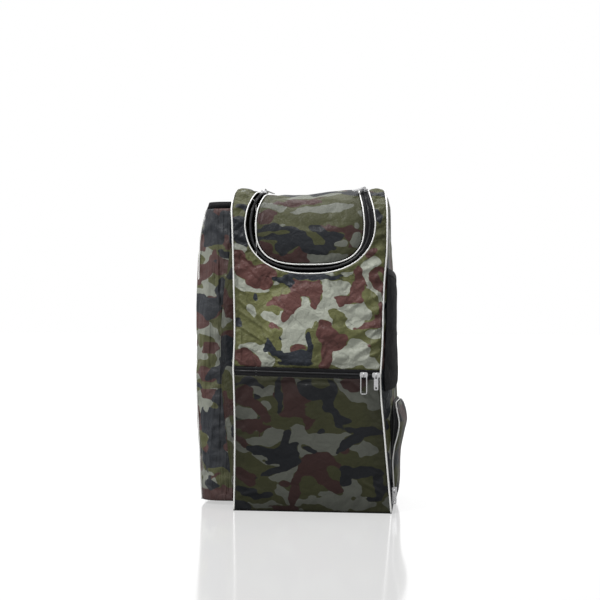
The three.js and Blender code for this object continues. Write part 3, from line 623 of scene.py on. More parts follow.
def camo_cloth(name, panel):
    """Coated camouflage cloth: patches with wavering edges, a fine weave, creases and a soft sheen. Its tones
    carry the panel's shade, a painted shade, and painted shade darkens its crease lines, its seams and its
    dimmed parts.
    """
    creases, shade = panel["creases"], panel["shade"]
    cloth = bpy.context.scene.kit_bag_cloth
    material, tree, shader = finish_of(
        name, Sheen_Weight=0.02, Sheen_Roughness=0.35, Specular_IOR_Level=panel["gloss"])
    at = lay_of_cloth(tree, panel["seed"])
    # The ground and every tone are multiplied by the panel's shade: painted shade for the light the panel
    # gets
    colour = opaque(cloth.olive, shade)
    for k, tone in enumerate(TONES):
        patch = attribute_of(tree, "tone_" + tone).outputs["Fac"]
        own = place(tree, "ShaderNodeMapping", Vector=at, Location=(k * 1.7, k * 0.9, 0),
                    Scale=(1.0, 1.35, 1.0))
        edge = sums(tree, "SUBTRACT", clouds(tree, own.outputs[0], 38.0, 1.0, 0.45), 0.5)
        depth = sums(tree, "ADD", patch, sums(tree, "MULTIPLY", edge, PRINT_WANDER))
        inside = between(tree, depth, -PRINT_EDGE, PRINT_EDGE)
        colour = blend_colours(tree, inside, colour, opaque(getattr(cloth, tone), shade))
    worn = clouds(tree, at, 9.0, 5.0, 0.6)
    # Painted shade: dark crease lines, and darker cloth towards the seams and above dim_above
    dark = seam_shade(tree, creased_line(tree, at, 11.0), creases)
    for grey in (grey_of(tree, spread(tree, worn, 0.88, 1.10)), dark):
        colour = blend_colours(tree, 1.0, colour, grey, "MULTIPLY")
    tree.links.new(colour, shader.inputs["Base Color"])
    tree.links.new(spread(tree, worn, 0.40, 0.54), shader.inputs["Roughness"])
    upright = place(tree, "ShaderNodeMapping", Vector=at, Scale=(1.0, 0.07, 1.0))
    raise_surface(tree, shader,
                  (clouds(tree, upright.outputs[0], 62.0, 3.0), 11 * MM, panel["streaks"]),
                  (creased(tree, at, 34.0), 1.6 * MM, creases),
                  (creased(tree, at, 95.0), 0.5 * MM, creases),
                  (woven(tree, at, 0.9 * MM), 0.10 * MM, 0.35))
    return material


def black_cloth(name, panel):
    """Plain black packcloth."""
    material, tree, shader = finish_of(name, Roughness=0.7, Specular_IOR_Level=0.06)
    at = lay_of_cloth(tree, 2.0)
    tint(tree, shader, clouds(tree, at, 26.0, 6.0, 0.65), bpy.context.scene.kit_bag_cloth.black, 0.8, 1.5)
    raise_surface(tree, shader, (creased(tree, at, 40.0), 1.2 * MM, panel["creases"]),
                  (woven(tree, at, 1.1 * MM), 0.16 * MM, 0.6))
    return material


def tape_cloth(name, shift):
    """Zip tape: black herringbone with a fine cross rib."""
    material, tree, shader = finish_of(name, Roughness=0.6, Specular_IOR_Level=0.12)
    at = solid_place(tree, shift)
    tint(tree, shader, clouds(tree, at, 60.0, 4.0, 0.6), bpy.context.scene.kit_bag_cloth.black, 0.7, 1.6)
    raise_surface(tree, shader, (ribs(tree, at, 210.0, "DIAGONAL", 0.4), 0.2 * MM, 0.5))
    return material


def piping_cloth(name):
    """White piping: a glossy bias strip over a cord."""
    material, tree, shader = finish_of(name, Roughness=0.38, Specular_IOR_Level=0.5)
    at = solid_place(tree, 0.4)
    tint(tree, shader, clouds(tree, at, 38.0, 5.0, 0.6), bpy.context.scene.kit_bag_trim.white, 0.88, 1.05)
    raise_surface(tree, shader, (ribs(tree, at, 160.0, "DIAGONAL", 1.2), 0.12 * MM, 0.35))
    return material


def coil_nylon(name):
    """The zip's black monofilament."""
    material, tree, shader = finish_of(name, Roughness=0.42, Specular_IOR_Level=0.30)
    cloud = clouds(tree, solid_place(tree, 0.2), 120.0)
    colour = blend_colours(tree, cloud, opaque((0.006, 0.006, 0.007)), opaque((0.018, 0.018, 0.020)))
    tree.links.new(colour, shader.inputs["Base Color"])
    raise_surface(tree, shader, (cloud, 0.1 * MM, 0.3))
    return material


def zip_metal(name):
    """Cast and plated metal with fine scratches and a cloudy tone, darker in places."""
    material, tree, shader = finish_of(name, Metallic=1.0, Roughness=0.28)
    at = solid_place(tree, 0.1)
    stain = clouds(tree, at, 160.0, 5.0, 0.6)
    tint(tree, shader, stain, bpy.context.scene.kit_bag_trim.steel, 0.72, 1.15)
    tree.links.new(spread(tree, stain, 0.20, 0.38), shader.inputs["Roughness"])
    scratch = place(tree, "ShaderNodeMapping", Vector=at, Scale=(900, 900, 60))
    raise_surface(tree, shader, (clouds(tree, scratch.outputs[0], 1.0, 3.0), 0.05 * MM, 0.3))
    return material


def thread_finish(name, colour):
    """Sewing thread with a fine ply."""
    material, tree, shader = finish_of(name, Roughness=0.55, Sheen_Weight=0.2)
    ply = clouds(tree, solid_place(tree, 0.7), 700.0)
    tint(tree, shader, ply, colour, 0.7, 1.3)
    raise_surface(tree, shader, (ply, 0.1 * MM, 0.4))
    return material


def solid_copy(node):
    """A node's solid as a bmesh with its loose triangles joined, in the row frame."""
    source = frame["nodes"][node]
    form = bmesh.new()
    form.from_mesh(source.data)
    form.transform(source.matrix_world)
    bmesh.ops.remove_doubles(form, verts=form.verts, dist=WELD)
    return form


def patches_of_faces(form):
    """The faces of a bmesh in groups that share edges."""
    left = set(form.faces)
    groups = []
    while left:
        group = [left.pop()]
        for face in group:
            for edge in face.edges:
                for other in edge.link_faces:
                    if other in left:
                        left.discard(other)
                        group.append(other)
        groups.append(group)
    return groups


def keep_corners(form):
    """Marks the sharp turns of a sheet's open edge, so that smoothing leaves them sharp."""
    crease = form.verts.layers.float.new("crease_vert")
    for vertex in form.verts:
        sides = [edge.other_vert(vertex).co - vertex.co for edge in vertex.link_edges if edge.is_boundary]
        if len(sides) == 2 and sides[0].angle(sides[1]) < math.radians(140):
            vertex[crease] = 1.0


def outer_skin(node, middle=BAG_MIDDLE):
    """The outward face of a node's wall, as quads: its rim goes, and then the face that looks at middle."""
    form = solid_copy(node)
    bmesh.ops.recalc_face_normals(form, faces=form.faces)
    rim = [face for face in form.faces if min(e.calc_length() for e in face.edges) < 1.35 * WALL]
    bmesh.ops.delete(form, geom=rim, context="FACES")
    groups = patches_of_faces(form)
    facing = [sum(f.calc_area() * f.normal.dot(f.calc_center_median() - middle) for f in g) for g in groups]
    inward = [face for group, turned in zip(groups, facing) if turned < max(facing) for face in group]
    bmesh.ops.delete(form, geom=inward, context="FACES")
    bmesh.ops.join_triangles(form, faces=form.faces, angle_face_threshold=math.radians(70),
                             angle_shape_threshold=math.radians(60))
    long_sides = [edge for edge in form.edges if edge.calc_length() > LONGEST_SIDE]
    bmesh.ops.subdivide_edges(form, edges=long_sides, cuts=1, use_grid_fill=True)
    keep_corners(form)
    return form


def new_piece(name, form, *materials):
    """A shown object from a bmesh, which is freed."""
    mesh = bpy.data.meshes.new(name)
    form.to_mesh(mesh)
    form.free()
    piece = bpy.data.objects.new(name, mesh)
    bpy.context.scene.collection.objects.link(piece)
    for material in materials:
        mesh.materials.append(material)
    mesh.shade_smooth()
    return piece


def settle_modifiers(piece):
    """The piece's modifiers become its own mesh."""
    graph = bpy.context.evaluated_depsgraph_get()
    mesh = bpy.data.meshes.new_from_object(piece.evaluated_get(graph))
    old = piece.data
    piece.modifiers.clear()
    piece.data = mesh
    mesh.name = piece.name
    bpy.data.meshes.remove(old)


def smoothed(piece, levels):
    subdivision = piece.modifiers.new("smooth", "SUBSURF")
    subdivision.levels = subdivision.render_levels = levels
    subdivision.boundary_smooth = "PRESERVE_CORNERS"


def walled(piece, thickness):
    wall = piece.modifiers.new("wall", "SOLIDIFY")
    wall.thickness = thickness
    wall.offset = -1
    wall.use_even_offset = False


def bevelled(piece, width, segments=2, over=30):
    """Rounds the edges at which the piece turns by more than so many degrees."""
    bevel = piece.modifiers.new("edges", "BEVEL")
    bevel.width = width
    bevel.segments = segments
    bevel.limit_method = "ANGLE"
    bevel.angle_limit = math.radians(over)


def triples(items, field):
    """A field of three numbers of each item, as rows."""
    flat = np.empty(len(items) * 3, np.float32)
    items.foreach_get(field, flat)
    return flat.reshape(-1, 3).astype(float)


def points_of(piece):
    return triples(piece.data.vertices, "co")


def move_points(piece, points):
    piece.data.vertices.foreach_set("co", points.ravel())
    piece.data.update()


def normals_of(piece):
    return triples(piece.data.vertex_normals, "vector")


def rim_points(piece):
    """Indices of the points on a sheet's open edge."""
    form = bmesh.new()
    form.from_mesh(piece.data)
    found = [vertex.index for vertex in form.verts if vertex.is_boundary]
    form.free()
    return found


def from_rim(piece, rim):
    """Each point's distance to the sheet's edge."""
    tree = KDTree(len(rim))
    points = points_of(piece)
    for index in rim:
        tree.insert(points[index], index)
    tree.balance()
    return np.array([tree.find(point)[2] for point in points])


def along_front(points):
    """Length along the front cloth from the floor: straight up, round the arc and back along the top."""
    y, z = points[:, 1], points[:, 2]
    turn = np.arctan2(np.maximum(z - ARC_START, 0), np.maximum(TOP_Y - y, 1e-6))
    up = np.where(z < ARC_START, z, ARC_START + ARC * turn)
    on_top = (z > ARC_START) & (y > TOP_Y)
    return np.where(on_top, ARC_START + ARC * math.pi / 2 + y - TOP_Y, up)


def lay_flat(piece, kind):
    """Writes where each point lies on the flat cloth and returns it, in metres."""
    points = points_of(piece)
    across, up = points[:, 1], points[:, 2]
    if kind == "front":
        across, up = points[:, 0], along_front(points)
    elif kind == "sleeve":
        across = np.arctan2(points[:, 1], SLEEVE_MIDDLE.x - points[:, 0]) * SLEEVE_RADIUS
    flat = np.stack([across, up, np.zeros(len(points))], axis=1)
    store(piece, "lay", flat, "FLOAT_VECTOR", "vector")
    return flat


def store(piece, name, values, kind="FLOAT", field="value"):
    attribute = piece.data.attributes.new(name, kind, "POINT")
    attribute.data.foreach_set(field, np.asarray(values, np.float32).ravel())


def lobe(flat, x, up, wide, tall, turn):
    """How far inside a turned ellipse each point is: 1 at its middle, 0 at its edge and below outside it."""
    turn = math.radians(turn)
    dx, dy = flat[:, 0] - x * MM, flat[:, 1] - up * MM
    a = (dx * math.cos(turn) + dy * math.sin(turn)) / (wide * MM / 2)
    b = (dy * math.cos(turn) - dx * math.sin(turn)) / (tall * MM / 2)
    return 1 - np.sqrt(a * a + b * b)


def merged(a, b, blend):
    """The larger of two depths, with a fillet where they are alike."""
    mix = np.clip(0.5 + 0.5 * (b - a) / blend, 0, 1)
    return a + (b - a) * mix + blend * mix * (1 - mix)


# How far the outlines of the placed patches waver, in broad and in fine waves
WAVER_BROAD = 6.0 * MM
WAVER_FINE = 3.5 * MM


def wavered(flat, seed):
    """The flat places, each moved a few millimetres so that no patch stays a plain oval."""
    moves = []
    for x, up, _ in flat:
        move = []
        for shift in (0.5, 41.5):
            at = Vector((x * 26, up * 26, seed + shift))
            move.append(noise.noise(at) * WAVER_BROAD + noise.noise(at * 2.4) * WAVER_FINE)
        moves.append((*move, 0))
    return flat + np.array(moves)


# Above this length of cloth, where no patch is placed, the drifting patches cover this much
PATCHES_END = 0.700
OPEN_FILL = -0.02

# The drifting patches: their depth at the middle, the placed ones' extra width and the fillet between them
DRIFT_DEPTH = 34 * MM
PATCH_SPREAD = 2.5 * MM
PATCH_BLEND = 5 * MM


def drifting(placed, panel, layer):
    """Depth of the patches that drift over the whole panel, as noise about nought."""
    values = []
    for x, up, _ in placed * panel["grain"]:
        at = Vector((x * 13, up * 17, panel["seed"] + 5.3 * layer))
        values.append(noise.noise(at) + 0.35 * noise.noise(at * 2.3))
    return np.array(values)


def store_camo(piece, flat, panel):
    """Writes each tone's depth inside its patches, in metres: the panel's own patches and drifting ones."""
    placed = wavered(flat, panel["seed"])
    beyond = np.clip((flat[:, 1] - PATCHES_END) / (20 * MM), 0, 1)
    fill = panel["fill"] * (1 - beyond) + OPEN_FILL * beyond
    for k, tone in enumerate(TONES):
        depth = (drifting(placed, panel, k) - 0.10 + fill) * DRIFT_DEPTH
        for layer, patches in panel["patches"]:
            for values in patches:
                patch = dict(zip(PATCH_COLUMNS, values))
                half = min(patch["wide"], patch["tall"]) * MM / 2
                inside = lobe(placed, **patch) * half + PATCH_SPREAD
                depth = merged(depth, inside, PATCH_BLEND) if layer == tone else np.minimum(depth, -inside)
        store(piece, "tone_" + tone, depth)


def crinkles(flat, height, seed):
    """Diagonal creases that run in from both side seams and fade towards the middle."""
    rises = []
    for x, up, _ in flat:
        turn = math.radians(-38 if x < 0 else 38)
        along = x * math.cos(turn) + up * math.sin(turn)
        over = up * math.cos(turn) - x * math.sin(turn)
        ridge = 1 - 2.4 * abs(noise.noise(Vector((along * 8, over * 34, seed))))
        crossing = 1 - 2.4 * abs(noise.noise(Vector((x * 22, up * 22, seed + 9))))
        near_seam = min(1, abs(x) / SIDE_SEAM_X) ** 2
        rises.append((near_seam * ridge + 0.22 * crossing) * height * MM)
    return np.array(rises)


def press_folds(piece, flat, panel, clear):
    """Pushes the panel's long folds and a little unevenness into the sheet, none of it at its edge."""
    seed = panel["seed"]
    uneven = [noise.noise(Vector((x * 45, up * 45, seed))) for x, up, _ in flat]
    rise = crinkles(flat, panel["crinkle"], seed) + np.array(uneven) * 0.5 * MM
    for values in panel["folds"]:
        fold = dict(zip(FOLD_COLUMNS, values))
        height = fold.pop("rise") * MM
        ridge = np.clip(lobe(flat, **fold), -2, 1)
        rise += height * np.exp(-4 * (1 - ridge) ** 2)
    rise *= np.clip(clear / (14 * MM), 0, 1)
    move_points(piece, points_of(piece) + normals_of(piece) * rise[:, None])


def hold_edges(piece, rim, panel):
    """A Cloth modifier that holds the sheet by its seams and lets the rest find its creases."""
    group = piece.vertex_groups.new(name="seams")
    group.add(rim, 1.0, "REPLACE")
    modifier = piece.modifiers.new("settle", "CLOTH")
    cloth = modifier.settings
    cloth.quality = 4
    cloth.mass = 0.15
    cloth.tension_stiffness = cloth.compression_stiffness = 18
    cloth.shear_stiffness = 8
    cloth.bending_stiffness = 0.06
    cloth.air_damping = 2
    cloth.shrink_min = -panel["grow"]
    cloth.vertex_group_mass = "seams"
    cloth.use_pressure = True
    cloth.uniform_pressure_force = panel["puff"]
    cloth.effector_weights.gravity = 0
    modifier.collision_settings.use_collision = False
    modifier.collision_settings.use_self_collision = False


def settle_cloth(pieces):
    """Steps the cloth of all pieces together, then keeps each shape within its cap."""
    scene = bpy.context.scene
    start = {piece.name: points_of(piece) for piece, _, _ in pieces}
    for number in range(1, scene.kit_bag_cloth.frames + 1):
        scene.frame_set(number)
    graph = bpy.context.evaluated_depsgraph_get()
    for piece, panel, clear in pieces:
        moved = points_of(piece.evaluated_get(graph)) - start[piece.name]
        length = np.maximum(np.linalg.norm(moved, axis=1), 1e-9)
        cap = panel["cap"] * MM * np.clip(clear / (10 * MM), 0, 1)
        moved *= (np.minimum(length, cap) / length)[:, None]
        piece.modifiers.clear()
        piece.vertex_groups.clear()
        move_points(piece, start[piece.name] + moved)
    scene.frame_set(1)


def stations(node, ring=5.5 * MM):
    """The middles of the sections of a long thin solid, in order. A section's sides are shorter than ring."""
    form = solid_copy(node)
    form.verts.index_update()
    owner = {}
    sections = []
    for start in form.verts:
        if start.index in owner:
            continue
        section = [start]
        owner[start.index] = len(sections)
        for vertex in section:
            for edge in vertex.link_edges:
                other = edge.other_vert(vertex)
                if other.index not in owner and edge.calc_length() < ring:
                    owner[other.index] = len(sections)
                    section.append(other)
        sections.append(section)
    beside = [set() for _ in sections]
    for edge in form.edges:
        a, b = (owner[vertex.index] for vertex in edge.verts)
        if a != b:
            beside[a].add(b)
            beside[b].add(a)
    order = [next((k for k, near in enumerate(beside) if len(near) == 1), 0)]
    ahead = list(beside[order[0]])
    while ahead:
        order.append(ahead[0])
        ahead = [k for k in beside[order[-1]] if k not in order]
    middles = [sum((vertex.co for vertex in sections[k]), Vector()) / len(sections[k]) for k in order]
    form.free()
    return middles


def evenly(points, step):
    """Points a step apart on the smooth line through points."""
    fine = []
    for k in range(len(points) - 1):
        before = points[max(k - 1, 0)]
        a, b = points[k], points[k + 1]
        after = points[min(k + 2, len(points) - 1)]
        for t in np.arange(0, 1, 0.125):
            bend = (2 * before - 5 * a + 4 * b - after) * t * t + (3 * a - before - 3 * b + after) * t ** 3
            fine.append(0.5 * (2 * a + (b - before) * t + bend))
    fine.append(points[-1].copy())
    lengths = np.cumsum([0] + [(b - a).length for a, b in zip(fine, fine[1:])])
    count = max(2, round(lengths[-1] / step) + 1)
    even = []
    at = 0
    for length in np.linspace(0, lengths[-1], count):
        while at < len(fine) - 2 and lengths[at + 1] < length:
            at += 1
        span = max(lengths[at + 1] - lengths[at], 1e-9)
        even.append(fine[at].lerp(fine[at + 1], (length - lengths[at]) / span))
    return even


def outward(point):
    """The way out of the bag at a point of its front or top."""
    if point.z < ARC_START:
        return Vector((0, -1, 0))
    if point.y > TOP_Y:
        return Vector((0, 0, 1))
    return Vector((0, point.y - TOP_Y, point.z - ARC_START)).normalized()


def round_cord(name, points, radius, material, sides=3):
    """A round cord through points, as a closed mesh."""
    curve = bpy.data.curves.new(name, "CURVE")
    curve.dimensions = "3D"
    curve.bevel_depth = radius
    curve.bevel_resolution = sides
    curve.use_fill_caps = True
    curve.twist_mode = "MINIMUM"
    spline = curve.splines.new("POLY")
    spline.points.add(len(points) - 1)
    for knot, point in zip(spline.points, points):
        knot.co = (*point, 1)
    holder = bpy.data.objects.new(name, curve)
    bpy.context.scene.collection.objects.link(holder)
    graph = bpy.context.evaluated_depsgraph_get()
    form = bmesh.new()
    form.from_mesh(bpy.data.meshes.new_from_object(holder.evaluated_get(graph)))
    bpy.data.objects.remove(holder)
    bpy.data.curves.remove(curve)
    bmesh.ops.remove_doubles(form, verts=form.verts, dist=WELD)
    bmesh.ops.recalc_face_normals(form, faces=form.faces)
    return new_piece(name, form, material)


def add_bead(form, place_at, ahead, out, sizes, aside=0.0, lift=0.0):
    """A small rounded bead in the bmesh, its half sizes along ahead, across it and along out."""
    across = out.cross(ahead).normalized()
    up = ahead.cross(across)
    basis = Matrix((ahead, across, up)).transposed().to_4x4()
    centre = Matrix.Translation(place_at + across * aside + up * lift)
    bmesh.ops.create_icosphere(form, subdivisions=1, radius=1,
                               matrix=centre @ basis @ Matrix.Diagonal((*sizes, 1)))


def dress(piece, slot, *nodes):
    """The piece stands for those nodes and rides on the bag."""
    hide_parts(*nodes)
    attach(piece, "root")
    return piece


class KITBAG_OT_panels(bpy.types.Operator):
    """Cuts the cloth panels from the solids, lets them settle between their seams and prints them"""
    bl_idname = "kitbag.panels"
    bl_label = "Cloth panels"

    def execute(self, context):
        cloth = context.scene.kit_bag_cloth
        pieces = []
        for panel in PANELS:
            node = panel["node"]
            piece = new_piece(node + "_cloth", outer_skin(node, panel["middle"]))
            smoothed(piece, panel["level"])
            settle_modifiers(piece)
            rim = rim_points(piece)
            clear = from_rim(piece, rim)
            flat = lay_flat(piece, panel["lay"])
            # Painted shade near the seams and above dim_above, stored as a nearness to the seam
            dimmed = np.clip((flat[:, 1] - panel["dim_above"]) / DIM_OVER, 0, 1)
            store(piece, "clear", np.minimum(clear, SEAM_SHADE) - DIM_BY * dimmed)
            press_folds(piece, flat, panel, clear)
            if panel["cloth"] == "camo":
                store_camo(piece, flat, panel)
                piece.data.materials.append(camo_cloth("camo_" + node, panel))
            else:
                piece.data.materials.append(black_cloth("black_" + node, panel))
            hold_edges(piece, rim, panel)
            pieces.append((piece, panel, clear))
        settle_cloth(pieces)
        for piece, panel, _ in pieces:
            piece.modifiers.clear()
            piece.data.shade_smooth()
            if panel["finish"]:
                smoothed(piece, panel["finish"])
            walled(piece, cloth.thickness)
            dress(piece, panel["cloth"] + "_cloth", panel["node"])
        return {"FINISHED"}


PIPINGS = [
    {"node": "piping_left", "radius": 1.9},
    {"node": "piping_right", "radius": 1.9},
    {"node": "lid_piping_outer", "radius": 1.5},
    {"node": "lid_piping_inner", "radius": 1.5},
    {"node": "sleeve_piping", "radius": 1.5},
    {"node": "side_pocket_piping", "radius": 1.5},
]


class KITBAG_OT_piping(bpy.types.Operator):
    """Lays the white piping in the seams"""
    bl_idname = "kitbag.piping"
    bl_label = "Piping"

    def execute(self, context):
        white = piping_cloth("white_piping")
        for row in PIPINGS:
            points = evenly(stations(row["node"], 5 * MM), 4 * MM)
            piece = round_cord(row["node"] + "_cord", points, row["radius"] * MM, white)
            dress(piece, "piping", row["node"])
        return {"FINISHED"}


ZIP_TAPES = ("front_zip_tape_lower", "front_zip_tape_upper", "lid_zip_tape_outer", "lid_zip_tape_inner")

# Half the length, width and height of one turn of a coil, and how far it stands aside and out
TURN_SIZES = (0.9 * MM, 1.9 * MM, 1.2 * MM)
TURN_ASIDE = 0.75 * MM
TURN_LIFT = 0.5 * MM

# Each coil and the way its turns face, where that isn't the way out of the front
COILS = [
    ("front_zip_coil", None),
    ("lid_zip_coil", None),
    ("side_pocket_coil", Vector((1, 0, 0))),
]


class KITBAG_OT_zips(bpy.types.Operator):
    """Makes the zips: ribbed tapes and the coils with their turns"""
    bl_idname = "kitbag.zips"
    bl_label = "Zips"

    def execute(self, context):
        trim = context.scene.kit_bag_trim
        tape = tape_cloth("zip_tape_cloth", 0.3)
        for node in ZIP_TAPES:
            piece = new_piece(node + "_ribbon", outer_skin(node), tape)
            smoothed(piece, 2)
            walled(piece, 1.0 * MM)
            dress(piece, "zip_tape", node)
        nylon = coil_nylon("coil_nylon")
        for node, facing in COILS:
            even = evenly(stations(node), trim.tooth_pitch)
            form = solid_copy(node)
            for k, (a, b) in enumerate(zip(even, even[1:])):
                aside = -TURN_ASIDE if k % 2 else TURN_ASIDE
                add_bead(form, a, (b - a).normalized(), facing or outward(a), TURN_SIZES, aside, TURN_LIFT)
            piece = new_piece(node + "_turns", form, nylon)
            dress(piece, "zip_coil", node)
        return {"FINISHED"}


# Rows of stitches: the seam that a row follows, the piece it is sewn to, and how far the row lies from the
# seam on the side of the coil, in millimetres
LID_STITCHES = [
    {"seam": "lid_piping_outer", "on": "lid_zip_tape_outer_ribbon", "off": 3.2},
    {"seam": "lid_piping_inner", "on": "lid_zip_tape_inner_ribbon", "off": 3.2},
]

# The tapes of the front zip, and how far a row lies from the tape's outer edge and its ends
FRONT_STITCHES = ["front_zip_tape_lower", "front_zip_tape_upper"]
FRONT_STITCHES_OFF = 2.6 * MM
FRONT_STITCHES_ENDS = 5 * MM

# The upright seam on the sleeve's front, and how far its stitches keep from the sleeve's ends
SLEEVE_SEAM_X = -0.186
SLEEVE_SEAM_ENDS = 20 * MM

# Half the width and height of a stitch, and the colour of the thread along the zips
THREAD = 0.42 * MM
THREAD_HEIGHT = 0.4 * MM
THREAD_COLOUR = (0.030, 0.030, 0.032)


def stitched(name, points, piece, thread):
    """A row of stitches along points, sunk into the piece's surface."""
    trim = bpy.context.scene.kit_bag_trim
    surface = BVHTree.FromObject(piece, bpy.context.evaluated_depsgraph_get())
    even = evenly(points, trim.stitch + trim.stitch_gap)
    form = bmesh.new()
    for a, b in zip(even, even[1:]):
        place_on, out, _, _ = surface.find_nearest(a.lerp(b, 0.5))
        add_bead(form, place_on, (b - a).normalized(), out, (trim.stitch / 2, THREAD, THREAD_HEIGHT))
    made = new_piece(name, form, thread)
    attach(made, "root")
    return made


def beside_seam(seam, coil, off):
    """The seam's points moved towards the nearest points of the coil."""
    moved = []
    for point in seam:
        near = min(coil, key=lambda other: (other - point).length_squared)
        moved.append(point + (near - point).normalized() * off)
    return moved


class KITBAG_OT_stitches(bpy.types.Operator):
    """Sews the stitches along the zips and down the sleeve's seam"""
    bl_idname = "kitbag.stitches"
    bl_label = "Stitches"

    def execute(self, context):
        cloth = context.scene.kit_bag_cloth
        thread = thread_finish("sewing_thread", THREAD_COLOUR)
        coil = evenly(stations("lid_zip_coil"), 6 * MM)
        for row in LID_STITCHES:
            seam = evenly(stations(row["seam"], 5 * MM), 6 * MM)
            points = beside_seam(seam, coil, row["off"] * MM)
            stitched(row["seam"] + "_stitches", points, bpy.data.objects[row["on"]], thread)
        for node in FRONT_STITCHES:
            low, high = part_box(node)
            up = low.z + FRONT_STITCHES_OFF if node.endswith("lower") else high.z - FRONT_STITCHES_OFF
            places = np.linspace(low.x + FRONT_STITCHES_ENDS, high.x - FRONT_STITCHES_ENDS, 24)
            row = [Vector((x, low.y, up)) for x in places]
            stitched(node + "_stitches", row, bpy.data.objects[node + "_ribbon"], thread)
        low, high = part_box("sleeve")
        heights = np.linspace(low.z + SLEEVE_SEAM_ENDS, high.z - SLEEVE_SEAM_ENDS, 40)
        seam = [Vector((SLEEVE_SEAM_X, low.y, z)) for z in heights]
        dark = thread_finish("seam_thread", opaque(cloth.black, 1.2)[:3])
        stitched("sleeve_seam_stitches", seam, bpy.data.objects["sleeve_cloth"], dark)
        return {"FINISHED"}


BLACK_TRIM = ("base", "sleeve_base", "slip_hem", "side_pocket_gusset")

# The small folds round the sleeve's elastic mouth, and how deep they are
GATHERS = 62
GATHER_DEPTH = 1.1 * MM


def gathered_band(name, material):
    """The elastic round the sleeve's mouth, its cloth drawn up in small upright folds."""
    form = solid_copy("sleeve_band")
    bmesh.ops.join_triangles(form, faces=form.faces, angle_face_threshold=math.radians(30),
                             angle_shape_threshold=math.radians(60))
    level = [edge for edge in form.edges
             if abs(edge.verts[0].co.z - edge.verts[1].co.z) < MM and edge.calc_length() > 3 * MM]
    bmesh.ops.subdivide_edges(form, edges=level, cuts=5, use_grid_fill=True)
    middle = SLEEVE_MIDDLE.xy
    for vertex in form.verts:
        way = vertex.co.xy - middle
        round_sleeve = math.atan2(way.y, way.x)
        rise = (0.5 + 0.5 * math.sin(GATHERS * round_sleeve + 2 * math.sin(5 * round_sleeve))) * GATHER_DEPTH
        vertex.co.xy = middle + way * (1 - rise / max(way.length, MM))
    return new_piece(name, form, material)


class KITBAG_OT_trim(bpy.types.Operator):
    """Finishes the hems, the sleeve's elastic, the bases and the pocket's side strip"""
    bl_idname = "kitbag.trim"
    bl_label = "Black trim"

    def execute(self, context):
        tape = tape_cloth("black_trim_cloth", 1.3)
        for node in BLACK_TRIM:
            piece = new_piece(node + "_trim", solid_copy(node), tape)
            bevelled(piece, 0.5 * MM)
            dress(piece, "black_cloth", node)
        dress(gathered_band("sleeve_band_gathers", tape), "elastic", "sleeve_band")
        return {"FINISHED"}


ZIP_ENDS = ("front_left", "front_right", "lid_left", "lid_right", "side_pocket")


class KITBAG_OT_metal(bpy.types.Operator):
    """Rounds and plates the sliders and pulls"""
    bl_idname = "kitbag.metal"
    bl_label = "Sliders and pulls"

    def execute(self, context):
        plated = zip_metal("plated_metal")
        for end in ZIP_ENDS:
            for part in ("slider", "pull"):
                node = f"{part}_{end}"
                piece = new_piece(node + "_plated", solid_copy(node), plated)
                bevelled(piece, 0.3 * MM, over=50)
                piece.data.shade_flat()
                dress(piece, "metal", node)
        return {"FINISHED"}


class KITBAG_OT_straps(bpy.types.Operator):
    """Pads the shoulder straps and weaves their webbing"""
    bl_idname = "kitbag.straps"
    bl_label = "Shoulder straps"

    def execute(self, context):
        cover = tape_cloth("strap_cover", 2.1)
        webbing = tape_cloth("strap_webbing", 3.4)
        for side in ("left", "right"):
            pad = new_piece(f"strap_pad_{side}_cover", solid_copy(f"strap_pad_{side}"), cover)
            bevelled(pad, 3.5 * MM, segments=3, over=40)
            dress(pad, "strap_cloth", f"strap_pad_{side}")
            web = new_piece(f"strap_web_{side}_woven", solid_copy(f"strap_web_{side}"), webbing)
            bevelled(web, 0.4 * MM)
            dress(web, "webbing", f"strap_web_{side}")
        return {"FINISHED"}


# The camera: where it stands, its height above the floor, its turn and its lens, in metres, degrees and mm
CAMERA_PLACE = (0.31923, -2.92913, 0.466)
CAMERA_TURN = 7.0
CAMERA_LENS = 76.38
CAMERA_SENSOR = 36.0


LIGHTS = [
    {"name": "key", "place_at": (-1.3, -1.2, 2.2), "aim": (0, 0, 0.45), "size": (1.0, 0.7)},
    {"name": "fill", "place_at": (1.0, -2.6, 1.3), "aim": (0, 0, 0.4), "size": (1.2, 1.2)},
    {"name": "top", "place_at": (0.1, 0.1, 2.5), "aim": (0, -0.05, 0.6), "size": (1.4, 1.0)},
]


def soft_light(name, place_at, aim, size, power):
    lamp = bpy.data.lights.new(name, "AREA")
    lamp.shape = "RECTANGLE"
    lamp.size, lamp.size_y = size
    lamp.energy = power
    holder = bpy.data.objects.new(name, lamp)
    holder.location = place_at
    holder.rotation_euler = (Vector(aim) - Vector(place_at)).to_track_quat("-Z", "Y").to_euler()
    bpy.context.scene.collection.objects.link(holder)


def studio_floor(stage):
    """A pale floor with a soft gloss, which the camera sees brighter than the bag does."""
    form = bmesh.new()
    bmesh.ops.create_grid(form, x_segments=1, y_segments=1, size=14)
    material, tree, shader = finish_of(
        "studio_floor", Roughness=0.10, Specular_IOR_Level=0.5, Emission_Color=(1, 1, 1, 1))
    rays = tree.nodes.new("ShaderNodeLightPath")
    glow = sums(tree, "ADD", sums(tree, "MULTIPLY", rays.outputs["Is Camera Ray"], 0.40), 0.10)
    tree.links.new(glow, shader.inputs["Emission Strength"])
    tint(tree, shader, clouds(tree, solid_place(tree), 0.7), stage.floor, 1.0, 0.99)
    new_piece("floor", form, material)


